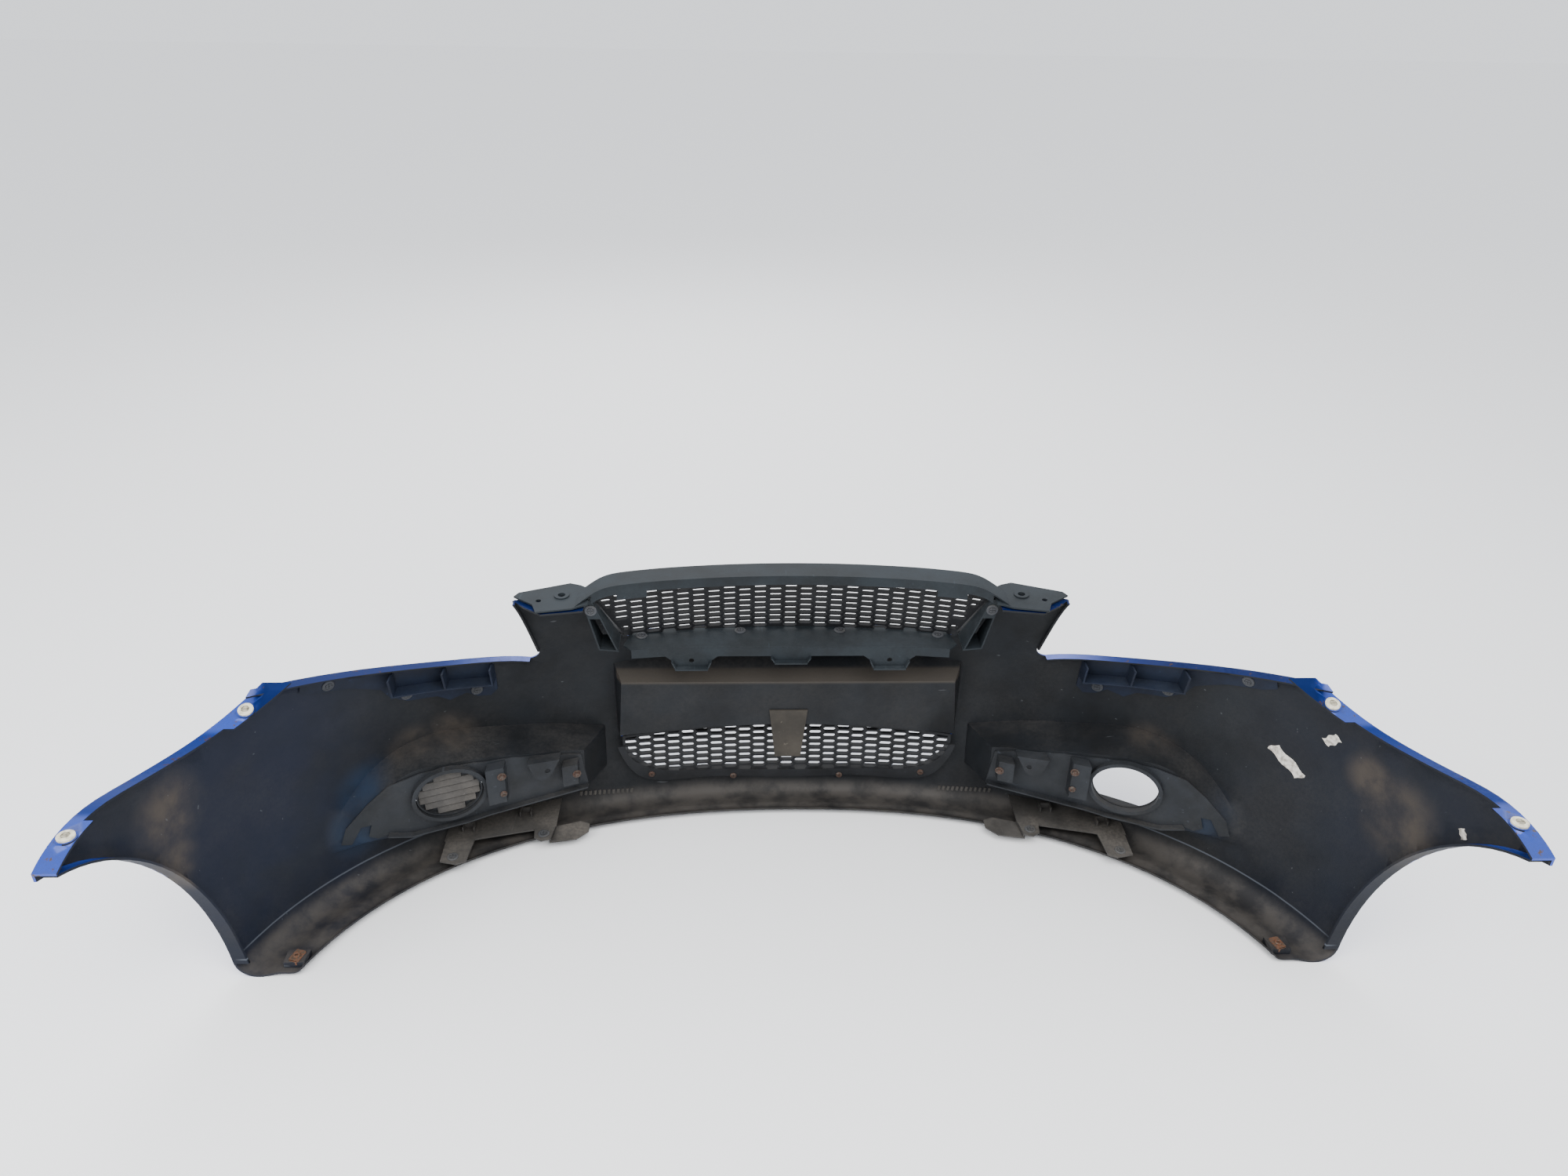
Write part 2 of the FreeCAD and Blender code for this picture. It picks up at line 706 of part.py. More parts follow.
def upper_grille_mesh():
    low = -8.0
    high = 116.0
    right_half = [(249.9, low), (299.9, 102.0), (268.0, high)]
    corners = [(-x, z) for x, z in right_half] + right_half[::-1]
    outline = polygon([Vector(x, 0, z) for x, z in corners])
    face = slotted_face(outline, 3.5, size("upper_pitch_z"), size("upper_slot_z"), high, 5.0)
    depth = size("mesh_depth")
    body = face.extrude(Vector(0, 80, 0))
    plate = bowed_plate(325.0, size("upper_mesh_bow"), 0.0, depth, low - 5, high + 5)
    panel = body.common(plate)
    panel.rotate(Vector(0, 0, 0), Vector(1, 0, 0), -size("upper_mesh_lean"))
    panel.translate(Vector(0, size("upper_mesh_y"), size("upper_mesh_z")))
    return panel.cut(box(-400, 400, -100, 300, 250, SHELF_TOP + 0.2))


free_form("upper_grille_mesh", upper_grille_mesh())


def mirror_chain(points):
    """Adds the mirror image of points given from X = 0 outwards, ending with the widest."""
    left = [(-x, value) for x, value in points[:0:-1]]
    return left + points


RAIL_LEVEL = mirror_chain([(0, 0.0), (150, -1.5), (250, -5.0), (285, -9.5), (304, -17.0), (318, -22.5)])
RAIL_PLAN = mirror_chain([(0, 0.0), (150, 6.0), (250, 17.0), (285, 26.0), (304, 37.0), (318, 51.0)])


def upper_grille_frame():
    thin = size("trim_wall")
    top = size("rail_z")
    front = size("rail_front")
    width = size("rail_width")
    level = [Vector(x, 0, top + dz) for x, dz in RAIL_LEVEL]
    front_line = [Vector(x, front + dy, 380) for x, dy in RAIL_PLAN]
    rear_line = [p + Vector(0, width - thin, 0) for p in front_line]
    high = Vector(0, 0, 120)
    along = Vector(0, 260, 0)
    roof = strip(level, Vector(0, 0, -thin), along)
    roof = roof.common(strip(front_line, Vector(0, width, 0), high))
    front_drop = strip(level, Vector(0, 0, -9.0), along)
    front_drop = front_drop.common(strip(front_line, Vector(0, thin, 0), high))
    front_drop = front_drop.common(box(-300, 300, 0, 300, 380, 500))
    rear_drop = strip(level, Vector(0, 0, -15.0), along)
    rear_drop = rear_drop.common(strip(rear_line, Vector(0, thin, 0), high))
    rear_drop = rear_drop.common(box(-296, 296, 0, 300, 380, 500))
    hooks = strip(level, Vector(0, 0, -25.0), along)
    hooks = hooks.common(strip(rear_line, Vector(0, thin, 0), high))
    sides = [hooks.common(box(x, x + 44, 0, 300, 380, 500)) for x in (216, -260)]
    frame = join(roof, [front_drop, rear_drop] + sides)
    behind_skin = shell_between(WALL_ROWS, size("grille_lip") + 1.5, 190.0)
    ear_base = size("ear_z") + 3.0
    inner_plate = front_prism([(262, 341), (264.5, 341), (303.5, 441), (301, 441)], 40, CHEEK_REAR)
    outer_plate = front_prism([(289, 344), (291.5, 344), (313, 431), (310.5, 431)], 40, CHEEK_REAR)
    foot_plate = front_prism([(262, 341), (291.5, 344), (291.5, 346.5), (262, 343.5)], 52, CHEEK_REAR)
    boss = front_prism(
        [(285, 399), (305, 399), (313, 431), (299, 431)], CHEEK_REAR - thin, CHEEK_REAR
    )
    ear_outline = [
        (300, 96), (316, 84), (332, 78), (404, 106), (410, 117), (380, 140), (372, 162),
        (322, 152), (300, 140),
    ]
    ear = plan_prism(ear_outline, ear_base, ear_base + thin)
    hole_x, hole_y, _ = EAR_HOLES[0]
    socket = Part.makeCylinder(11.0, 4.5, Vector(hole_x, hole_y, ear_base))
    cheek = join(inner_plate, [outer_plate, foot_plate, boss]).common(behind_skin)
    halves = join(cheek, [ear, socket])
    for x, y, radius in EAR_HOLES:
        halves = halves.cut(Part.makeCylinder(radius + 1.0, 30, Vector(x, y, ear_base - 10)))
    for place in CHEEK_CLIPS[:1]:
        halves = halves.cut(hole_at(place, size("clip_shank_radius") + size("fit_gap"), 16.0))
    frame = frame.fuse(halves)
    frame = frame.fuse(mirrored(halves))
    return frame


free_form("upper_grille_frame", upper_grille_frame())


def grille_shelf():
    thin = size("trim_wall")
    low = size("shelf_z")
    rear = size("shelf_rear")
    plate_outline = [
        (-251, 47), (-160, 33), (160, 33), (251, 47), (251, 70), (257, 90), (244, rear + 6), (190, rear),
        (-190, rear), (-244, rear + 6), (-257, 90), (-251, 70),
    ]
    shelf = plan_prism(plate_outline, low, low + thin)
    skirt_line = [(-244, rear + 6), (-190, rear), (190, rear), (244, rear + 6)]
    skirt_outline = skirt_line + [(x, y - thin) for x, y in reversed(skirt_line)]
    skirt = plan_prism(skirt_outline, low - 13, low + thin)
    pieces = [skirt]
    half = size("tab_width") / 2
    drop = size("tab_drop")
    outer = size("tab_spacing") / 2
    for centre, depth in ((-outer, drop), (0.0, drop - 11), (outer, drop)):
        shoulder = low - 0.35 * depth
        outline = [
            (centre - half - 14, shoulder), (centre - half - 14, low), (centre + half + 14, low),
            (centre + half + 14, shoulder), (centre + half + 3, low - 0.6 * depth),
            (centre + half - 3, low - depth), (centre - half + 3, low - depth),
            (centre - half - 3, low - 0.6 * depth),
        ]
        pieces.append(front_prism(outline, rear - thin, rear))
        foot_x0, foot_x1 = centre - half + 3, centre + half - 3
        pieces.append(box(foot_x0, foot_x1, rear - thin, rear + 9, low - depth, low - depth + thin))
        for side in (-1, 1):
            head = centre + side * (half + 3)
            foot = centre + side * (half - 3)
            inner = -side * thin
            rib = [
                (head, low - 0.6 * depth), (foot, low - depth), (foot + inner, low - depth),
                (head + inner, low - 0.6 * depth),
            ]
            pieces.append(front_prism(rib, rear - thin, rear + 7))
    shelf = join(shelf, pieces)
    for side in (-1, 1):
        centre = Vector(side * outer, rear - 30, low - drop + 13)
        shelf = shelf.cut(Part.makeCylinder(size("tab_hole"), 60, centre, REARWARD))
    return with_holes(shelf, SHELF_CLIPS, size("clip_shank_radius"))


free_form("grille_shelf", grille_shelf())


def lower_grille_mesh():
    front = size("lower_mesh_y")
    rear = front + size("mesh_depth")
    bow = size("lower_mesh_bow")
    # The mesh stands behind the lip of its opening and reaches up to the plate recess's floor.
    rise = 10.5
    opening = lower_opening(-0.8, 0, 1, rise).Faces
    flat = [f for f in opening if abs(f.normalAt(0, 0).y) > 0.9 and f.CenterOfMass.y < 0.5][0]
    outline = flat.OuterWire
    face = slotted_face(outline, 0.0, size("lower_pitch_z"), size("lower_slot_z"), 162.0, 50.0)
    inset = lower_opening(-5.0, 0, 1, rise)
    middle = face.common(inset)
    rim = Part.Face(outline).cut(inset)
    plate = bowed_plate(300.0, bow, front, rear + 0.3, 20, 180)
    panel = middle.extrude(Vector(0, 90, 0)).common(plate)
    rim_solid = rim.extrude(Vector(0, 90, 0)).common(plate)
    ring = lower_opening(11.0, 0, 90, rise).cut(lower_opening(-5.0, 0, 90, rise))
    ring = ring.cut(box(-400, 400, -10, 100, 116, 300))
    flange = ring.common(bowed_plate(300.0, bow, rear + 0.2, FRAME_REAR, 20, 180))
    frame = rim_solid.fuse(flange)
    frame = frame.fuse(panel)
    return with_holes(frame, FRAME_SCREWS, size("screw_shank_radius"))


free_form("lower_grille_mesh", lower_grille_mesh())

# ---------------------------------------------------------------- sub-parts: side brackets


def headlamp_bracket():
    thin = size("trim_wall")
    near = BRACKET_DEPTH
    plate_band = shell_between(WALL_ROWS, near, near + thin)
    rib_band = shell_between(WALL_ROWS, near, near + size("bracket_depth"))
    outline = [
        (457, 312), (520, 327), (589, 345), (640, 363), (686, 380), (690, 366), (676, 354), (640, 340),
        (606, 316), (598, 296), (578, 278), (540, 270), (524, 256), (500, 262), (486, 250), (467, 246),
        (457, 256),
    ]
    plate = front_prism(outline, -50, 400).common(plate_band)
    ledge = front_prism([(457, 278), (589, 309), (589, 311.5), (457, 280.5)], -50, 400).common(rib_band)
    ribs = []
    for x, low, high in ((457, 279, 312), (520, 294, 327), (586, 309, 344)):
        rib = front_prism([(x, low), (x + thin, low), (x + thin, high), (x, high)], -50, 400)
        ribs.append(rib.common(rib_band))
    bracket = join(plate, [ledge] + ribs)
    return with_holes(bracket, BRACKET_CLIPS, size("clip_shank_radius"))


bracket_shape = headlamp_bracket()
free_form("headlamp_bracket_left", bracket_shape)
free_form("headlamp_bracket_right", mirrored(bracket_shape))


def wall_slab(near, far):
    """Slab parallel to the back wall of the fog recess."""
    corners = []
    slant = math.hypot(1.0, size("fog_back_slope"))
    for x, depth in ((290, near), (720, near), (720, far), (290, far)):
        corners.append((x, fog_back_y(x) + depth * slant))
    return plan_prism(corners, 20, 260)


def fog_bezel():
    thin = size("trim_wall")
    near = FOG_WALL_DEPTH
    skin = wall_slab(near, near + thin)
    outline = [
        (322, 92), (470, 84), (500, 80), (580, 78), (612, 88), (628, 84), (640, 92), (634, 112),
        (648, 112), (664, 84), (678, 88), (668, 116), (634, 152), (604, 176), (560, 186), (486, 184),
        (466, 180), (430, 178), (405, 172), (358, 162), (330, 154),
    ]
    plate = front_prism(outline, 60, 400).common(skin)
    rim_line = [(322, 92), (470, 84), (500, 80), (580, 78), (612, 88)]
    rim_outline = rim_line + [(x, z + thin) for x, z in reversed(rim_line)]
    rim = front_prism(rim_outline, 60, 400).common(wall_slab(near, near + 12))
    pieces = [rim]
    for x0, x1, z0, z1 in ((440, 466, 110, 176), (334, 357, 112, 150)):
        shell = front_prism([(x0, z0), (x1, z0), (x1, z1), (x0, z1)], 60, 400)
        hollow = front_prism(
            [(x0 + thin, z0 + thin), (x1 - thin, z0 + thin), (x1 - thin, z1 - thin), (x0 + thin, z1 - thin)],
            60, 400,
        )
        post = shell.common(wall_slab(near, POST_DEPTH))
        pieces.append(post.cut(hollow.common(wall_slab(near - 5, POST_DEPTH - thin))))
    tab = front_prism([(360, 166), (406, 170), (398, 142), (390, 136), (378, 136), (372, 142)], 60, 400)
    pieces.append(tab.common(wall_slab(near + 16, near + 16 + thin)))
    tab_root = front_prism([(360, 163.5), (406, 167.5), (406, 170), (360, 166)], 60, 400)
    pieces.append(tab_root.common(wall_slab(near, near + 16 + thin)))
    collar_out = oval_prism(size("fog_half_width") + 7, size("fog_half_height") + 7, near, near + 11)
    pieces.append(collar_out)
    bezel = join(plate, pieces)
    bore = oval_prism(size("fog_half_width") + 0.8, size("fog_half_height") + 0.8, -20, 60)
    bezel = bezel.cut(bore)
    tab_hole = on_fog_wall(386, 150, near + 16)
    bezel = bezel.cut(hole_at(tab_hole, 4.0, 20.0))
    return with_holes(bezel, BEZEL_SCREWS, size("screw_shank_radius"))


bezel_shape = fog_bezel()
free_form("fog_bezel_left", bezel_shape)
free_form("fog_bezel_right", mirrored(bezel_shape))


def fog_blanking_cover():
    """Louvred cover that blanks the left fog-lamp hole."""
    a = size("fog_half_width") - 0.4
    b = size("fog_half_height") - 0.4
    plate = oval_prism(a, b, 0.4, 2.6)
    slat_count = 6
    slat_pitch = 12.0
    slot_height = 3.0
    middle = on_fog_wall(size("fog_x"), size("fog_z"), 0.0)[0]
    for k in range(slat_count - 1):
        z = middle.z + (k - (slat_count - 2) / 2) * slat_pitch
        half = 0.78 * a * math.sqrt(1 - ((z - middle.z) / b) ** 2)
        slot = front_prism(
            [(middle.x - half, z), (middle.x + half, z), (middle.x + half, z + slot_height),
             (middle.x - half, z + slot_height)], 60, 400,
        )
        plate = plate.cut(slot)
    rim = oval_prism(a, b, 0.4, 9.0).cut(oval_prism(a - 2.5, b - 2.5, -5, 20))
    slats = []
    inside = oval_prism(a - 1.5, b - 1.5, 0.4, 7.0)
    for k in range(slat_count):
        z = middle.z + (k - (slat_count - 1) / 2) * slat_pitch
        bar = front_prism([(450, z - 0.9), (600, z - 0.9), (600, z + 0.9), (450, z + 0.9)], 60, 400)
        slats.append(bar.common(inside))
    return join(plate, [rim] + slats)


free_form("fog_blanking_cover", fog_blanking_cover())


def undertray_bracket():
    thin = size("trim_wall")
    wall_zone = shell_between(RETURN_ROWS + WALL_ROWS, -1.0, size("wall") + 0.8)
    strip_outline = [
        (376, 60), (548, 130), (548, 176), (530, 182), (496, 170), (410, 150), (376, 143),
    ]
    level = plan_prism(strip_outline, TRAY_Z, TRAY_TOP).cut(wall_zone)
    level = max(level.Solids, key=lambda solid: solid.Volume)
    inner_leg = plan_prism([(376, 130), (411, 140), (408, 168), (396, 176), (382, 172)], TRAY_Z, TRAY_TOP)
    outer_leg = plan_prism([(500, 160), (546, 172), (546, 222), (520, 228), (506, 222)], TRAY_Z, TRAY_TOP)
    foot_outline = [(324, 128), (340, 122), (384, 136), (384, 172), (342, 164), (324, 146)]
    foot_z = 15.6
    foot = plan_prism(foot_outline, foot_z, foot_z + thin)
    riser = plan_prism([(376, 134), (384, 136), (384, 170), (381, 170)], foot_z, TRAY_TOP)
    boxes = []
    for x, y in ((428, 112), (514, 148)):
        block = box(x - 10, x + 10, y - 7, y + 7, TRAY_Z, TRAY_Z + 12)
        boxes.append(block.cut(box(x - 7.5, x + 7.5, y - 4.5, y + 10, TRAY_TOP, TRAY_Z + 14)))
    bracket = join(level, [inner_leg, outer_leg, foot, riser] + boxes)
    return with_holes(bracket, TRAY_CLIPS, size("clip_shank_radius"))


tray_shape = undertray_bracket()
free_form("undertray_bracket_left", tray_shape)
free_form("undertray_bracket_right", mirrored(tray_shape))


# ---------------------------------------------------------------- small moulded sub-parts


def origin_plane(body, role):
    for feature in body.Origin.OriginFeatures:
        if feature.Role == role:
            return feature
    raise ValueError(role)


def new_sketch(body, role, name):
    sketch = body.newObject("Sketcher::SketchObject", name)
    sketch.AttachmentSupport = [(origin_plane(body, role), "")]
    sketch.MapMode = "FlatFace"
    return sketch


def draw_outline(sketch, points):
    """Closed chain of lines whose ends are tied together."""
    corners = [Vector(x, y, 0) for x, y in points]
    count = len(corners)
    for k in range(count):
        sketch.addGeometry(Part.LineSegment(corners[k], corners[(k + 1) % count]), False)
    for k in range(count):
        sketch.addConstraint(Sketcher.Constraint("Coincident", k, 2, (k + 1) % count, 1))


def turned_body(label, outline_names):
    """Body of revolution about Z; the outline lists (radius, height) by size names or numbers."""
    body = doc.addObject("PartDesign::Body", label)
    body.Label = label
    sketch = new_sketch(body, "XZ_Plane", label + "_outline")
    values = []
    for pair in outline_names:
        values.append([size(v) if isinstance(v, str) else v for v in pair])
    draw_outline(sketch, values)
    origin_point = 1
    for k, (radius, height) in enumerate(outline_names):
        if isinstance(radius, str):
            index = sketch.addConstraint(
                Sketcher.Constraint("DistanceX", -1, origin_point, k, 1, size(radius))
            )
            sketch.setExpression("Constraints[%d]" % index, "Sizes." + radius)
    turn = body.newObject("PartDesign::Revolution", label + "_turn")
    turn.Profile = sketch
    turn.ReferenceAxis = (sketch, ["V_Axis"])
    turn.Angle = 360.0
    return body


def place_at_pin(body, place, side):
    """Puts a body on the fender flange at the front or rear grommet, left or right."""
    sign = "" if side > 0 else "-"
    axis = pin_seat(place)[1]
    body.Placement = FreeCAD.Placement(Vector(0, 0, 0), FreeCAD.Rotation(Vector(0, 0, 1), axis))
    body.setExpression(".Placement.Base.x", "%sSizes.pin_%s_x" % (sign, place))
    body.setExpression(".Placement.Base.y", "Sizes.pin_%s_y - Sizes.half_depth" % place)
    body.setExpression(".Placement.Base.z", "Sizes.pin_%s_z - Sizes.ground_gap" % place)


def wing_grommet(label):
    neck = size("collar_height") - size("head_recess_depth")
    low = -size("shank_length")
    return turned_body(label, [
        ("bore_radius", low), (4.1, low), ("shank_radius", low + 2.5), ("shank_radius", 0.0),
        ("collar_radius", 0.0), ("collar_radius", size("collar_height") - 0.8),
        (8.6, size("collar_height")), ("head_recess_radius", size("collar_height")),
        ("head_recess_radius", neck), ("bore_radius", neck),
    ])


def wing_pin(label):
    seat = size("collar_height") - size("head_recess_depth") + 0.3
    top = seat + size("pin_head_height")
    low = -size("shank_length") + 1.0
    body = turned_body(label, [
        (0.0, low), (1.6, low), ("pin_radius", low + 1.5), ("pin_radius", seat),
        ("pin_head_radius", seat), ("pin_head_radius", top - 0.4), (3.9, top), (0.0, top),
    ])
    doc.recompute()
    solid_volume = body.Shape.Volume
    slot = new_sketch(body, "XY_Plane", label + "_slot_outline")
    draw_outline(slot, [(-6, -0.6), (6, -0.6), (6, 0.6), (-6, 0.6)])
    slot.AttachmentOffset = FreeCAD.Placement(Vector(0, 0, top), FreeCAD.Rotation())
    pocket = body.newObject("PartDesign::Pocket", label + "_slot")
    pocket.Profile = slot
    pocket.Length = 0.8
    doc.recompute()
    assert body.Shape.Volume < solid_volume
    return body


for place in ("front", "rear"):
    for side, name in ((1, "left"), (-1, "right")):
        grommet = wing_grommet("wing_grommet_%s_%s" % (place, name))
        place_at_pin(grommet, place, side)
        add_node(grommet)
        pin = wing_pin("wing_pin_%s_%s" % (place, name))
        place_at_pin(pin, place, side)
        add_node(pin)


def plate_stay():
    """Tapered stay that hangs from the number-plate recess in front of the lower grille."""
    body = doc.addObject("PartDesign::Body", "plate_stay")
    sketch = new_sketch(body, "XZ_Plane", "plate_stay_outline")
    draw_outline(sketch, [(-31, 196), (31, 196), (28, 168), (21, 103), (-21, 103), (-28, 168)])
    pad = body.newObject("PartDesign::Pad", "plate_stay_pad")
    pad.Profile = sketch
    pad.setExpression("Length", "Sizes.trim_wall")
    pad.Reversed = True
    body.setExpression(".Placement.Base.y", "Sizes.plate_back_y + Sizes.wall + 0.1 - Sizes.half_depth")
    body.setExpression(".Placement.Base.z", "-Sizes.ground_gap")
    doc.recompute()
    return body


add_node(plate_stay())


def spring_nut(label, side):
    """Folded spring-steel nut on the end of the bottom return."""
    body = doc.addObject("PartDesign::Body", label)
    sketch = new_sketch(body, "XY_Plane", label + "_outline")
    draw_outline(sketch, [(-8, -12), (8, -12), (8, 10), (-8, 10)])
    pad = body.newObject("PartDesign::Pad", label + "_leaf")
    pad.Profile = sketch
    pad.Length = 1.6
    doc.recompute()
    boss = new_sketch(body, "XY_Plane", label + "_boss_outline")
    boss.addGeometry(Part.Circle(Vector(0, 0, 0), Vector(0, 0, 1), 4.6), False)
    rise = body.newObject("PartDesign::Pad", label + "_boss")
    rise.Profile = boss
    rise.Length = 4.2
    doc.recompute()
    full_volume = body.Shape.Volume
    bore = new_sketch(body, "XY_Plane", label + "_bore_outline")
    bore.addGeometry(Part.Circle(Vector(0, 0, 0), Vector(0, 0, 1), 2.4), False)
    hole = body.newObject("PartDesign::Pocket", label + "_bore")
    hole.Profile = bore
    hole.Type = "ThroughAll"
    hole.Midplane = True
    doc.recompute()
    assert body.Shape.Volume < full_volume
    body.Placement = FreeCAD.Placement(
        Vector(side * NUT_X, NUT_Y - size("half_depth"), NUT_PAD_TOP + 0.05 - size("ground_gap")),
        FreeCAD.Rotation(UP, side * -NUT_TURN),
    )
    return body


add_node(spring_nut("corner_spring_nut_left", 1))
add_node(spring_nut("corner_spring_nut_right", -1))

# ---------------------------------------------------------------- fasteners


def seated(point, direction, lift):
    """Placement of a primitive whose own Z axis follows a fastener's direction."""
    shift = Vector(0, -size("half_depth"), -size("ground_gap"))
    turn = FreeCAD.Rotation(Vector(0, 0, 1), direction)
    return FreeCAD.Placement(point + shift + direction * lift, turn)


def fastener_group(label, places, kind, shank_length):
    """Identical fasteners in one node: a head with a domed top on a shank, for each place."""
    members = []
    for index, (point, direction) in enumerate(places):
        name = "%s_%d" % (label, index)
        head = doc.addObject("Part::Cylinder", name + "_head")
        head.setExpression("Radius", "Sizes.%s_head_radius" % kind)
        head.setExpression("Height", "Sizes.%s_head_height / 2" % kind)
        head.Placement = seated(point, direction, 0.05)
        dome = doc.addObject("Part::Cone", name + "_dome")
        dome.setExpression("Radius1", "Sizes.%s_head_radius" % kind)
        dome.setExpression("Radius2", "Sizes.%s_head_radius * 0.62" % kind)
        dome.setExpression("Height", "Sizes.%s_head_height / 2" % kind)
        dome.Placement = seated(point, direction, 0.05 + size(kind + "_head_height") / 2)
        shank = doc.addObject("Part::Cylinder", name + "_shank")
        shank.setExpression("Radius", "Sizes.%s_shank_radius" % kind)
        shank.Height = shank_length + 0.5
        shank.Placement = seated(point, direction, 0.55 - shank_length)
        member = doc.addObject("Part::MultiFuse", name)
        member.Shapes = [head, dome, shank]
        members.append(member)
    group = doc.addObject("Part::Compound", label)
    group.Links = members
    return add_node(group)


def both_sides(places):
    return [(places, "left"), ([flip(p) for p in places], "right")]


fastener_group("shelf_push_clips", SHELF_CLIPS, "clip", 8.0)
fastener_group("lower_grille_screws", FRAME_SCREWS, "screw", 6.0)
fastener_group("grille_cheek_clips", CHEEK_CLIPS, "clip", 7.0)
for places, side in both_sides(BRACKET_CLIPS):
    fastener_group("headlamp_bracket_clips_" + side, places, "clip", size("trim_wall") - 0.1)
for places, side in both_sides(BEZEL_SCREWS):
    fastener_group("fog_bezel_screws_" + side, places, "screw", 10.0)
for places, side in both_sides(TRAY_CLIPS):
    fastener_group("undertray_clips_" + side, places, "clip", 5.0)

# ---------------------------------------------------------------- check and write

doc.recompute()
for thing in doc.Objects:
    assert not {"Invalid", "Error"} & set(thing.State), (thing.Name, thing.State)
for node in nodes:
    assert not node.Shape.isNull() and node.Shape.isValid(), node.Label
    tight = node.Shape.optimalBoundingBox(False, False)
    print(node.Label, len(node.Shape.Solids), round(node.Shape.Volume), tight)
os.makedirs("parts", exist_ok=True)
for node in nodes:
    node.Shape.exportStep("parts/%s.step" % node.Label)
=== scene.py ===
import json
import math

import bmesh
import bpy
import numpy
from mathutils import Matrix, Vector
from mathutils.bvhtree import BVHTree


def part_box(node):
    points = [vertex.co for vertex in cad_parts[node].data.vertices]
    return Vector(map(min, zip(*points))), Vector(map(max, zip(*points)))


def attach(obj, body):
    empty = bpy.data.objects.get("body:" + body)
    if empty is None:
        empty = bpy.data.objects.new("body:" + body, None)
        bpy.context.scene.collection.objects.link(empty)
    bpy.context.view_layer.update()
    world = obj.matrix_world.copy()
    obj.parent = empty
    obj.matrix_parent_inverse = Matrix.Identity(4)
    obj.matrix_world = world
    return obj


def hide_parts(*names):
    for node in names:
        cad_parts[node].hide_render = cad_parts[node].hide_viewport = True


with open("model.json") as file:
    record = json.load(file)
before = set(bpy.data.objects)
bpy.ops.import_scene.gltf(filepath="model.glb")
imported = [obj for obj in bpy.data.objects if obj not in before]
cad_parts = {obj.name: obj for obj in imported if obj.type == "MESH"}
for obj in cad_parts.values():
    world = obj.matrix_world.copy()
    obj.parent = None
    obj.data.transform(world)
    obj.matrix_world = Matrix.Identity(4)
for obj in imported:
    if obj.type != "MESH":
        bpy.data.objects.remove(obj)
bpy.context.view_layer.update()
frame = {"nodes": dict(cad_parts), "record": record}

bl_info = {
    "name": "Front bumper cover",
    "version": (1, 0, 0),
    "blender": (4, 5, 0),
    "location": "View3D > Sidebar > Bumper",
    "description": "Finishes, fasteners and small mouldings of a used front bumper cover",
    "category": "Object",
}

MM = 0.001
CLIP_NODES = [
    "shelf_push_clips", "grille_cheek_clips", "headlamp_bracket_clips_left",
    "headlamp_bracket_clips_right", "undertray_clips_left", "undertray_clips_right",
]
SCREW_NODES = ["lower_grille_screws"]
POST_SCREW_NODES = ["fog_bezel_screws_left", "fog_bezel_screws_right"]
LOUVRE_NODE = "fog_blanking_cover"
NUT_NODES = ["corner_spring_nut_left", "corner_spring_nut_right"]
# Places on the cover, in metres. A band's two ends are each a stretch over which it fades.
HEADLAMP_EDGE_Z = 0.28
PLATE_RECESS_HALF_X = 0.3
PLATE_FLOOR_Z = (0.12, 0.2)
PLATE_FLOOR_REAR_Y = -0.25
PLATE_ROOF_Z = ((0.243, 0.249), (0.278, 0.285))
CREASE_Z = ((0.0285, 0.0298), (0.031, 0.0322))
CREASE_X = ((0.5, 0.6), (0.77, 0.79))
BETWEEN_GROMMETS_Y = ((0.028, 0.045), (0.225, 0.245))
# Centre and radius of each patch on the cover's inner face, in metres.
MUD_SPOTS = [
    (Vector((0.575, -0.18, 0.178)), 0.06), (Vector((0.53, -0.2, 0.188)), 0.055),
    (Vector((-0.57, -0.18, 0.17)), 0.06), (Vector((-0.62, -0.15, 0.14)), 0.05),
    (Vector((0.815, 0.11, 0.3)), 0.075), (Vector((0.81, 0.13, 0.23)), 0.06),
    (Vector((-0.81, 0.108, 0.27)), 0.085), (Vector((-0.79, 0.05, 0.3)), 0.05),
]
FILM_SPOTS = [
    (Vector((0.64, -0.13, 0.14)), 0.07), (Vector((0.665, -0.11, 0.09)), 0.06),
    (Vector((-0.655, -0.12, 0.1)), 0.06),
]


# ---------------------------------------------------------------- settings


class FinishSettings(bpy.types.PropertyGroup):
    plastic: bpy.props.FloatVectorProperty(
        name="Cover plastic", description="Moulded-in colour of the cover, sRGB",
        default=(0.06, 0.068, 0.079), size=3, subtype="COLOR_GAMMA", min=0.0, max=1.0,
    )
    dust: bpy.props.FloatVectorProperty(
        name="Road dust", description="Colour of the dried dust, sRGB",
        default=(0.26, 0.25, 0.24), size=3, subtype="COLOR_GAMMA", min=0.0, max=1.0,
    )
    paint: bpy.props.FloatVectorProperty(
        name="Paint", description="Metallic blue of the outer face, sRGB",
        default=(0.05, 0.21, 0.58), size=3, subtype="COLOR_GAMMA", min=0.0, max=1.0,
    )
    dust_amount: bpy.props.FloatProperty(
        name="Dust amount", description="How much of the plastic the dust covers",
        default=0.5, min=0.0, max=1.0, subtype="FACTOR",
    )
    crease_angle: bpy.props.FloatProperty(
        name="Crease angle", description="Edges of the cover that turn more than this stay sharp",
        default=math.radians(18), subtype="ANGLE", unit="ROTATION",
    )


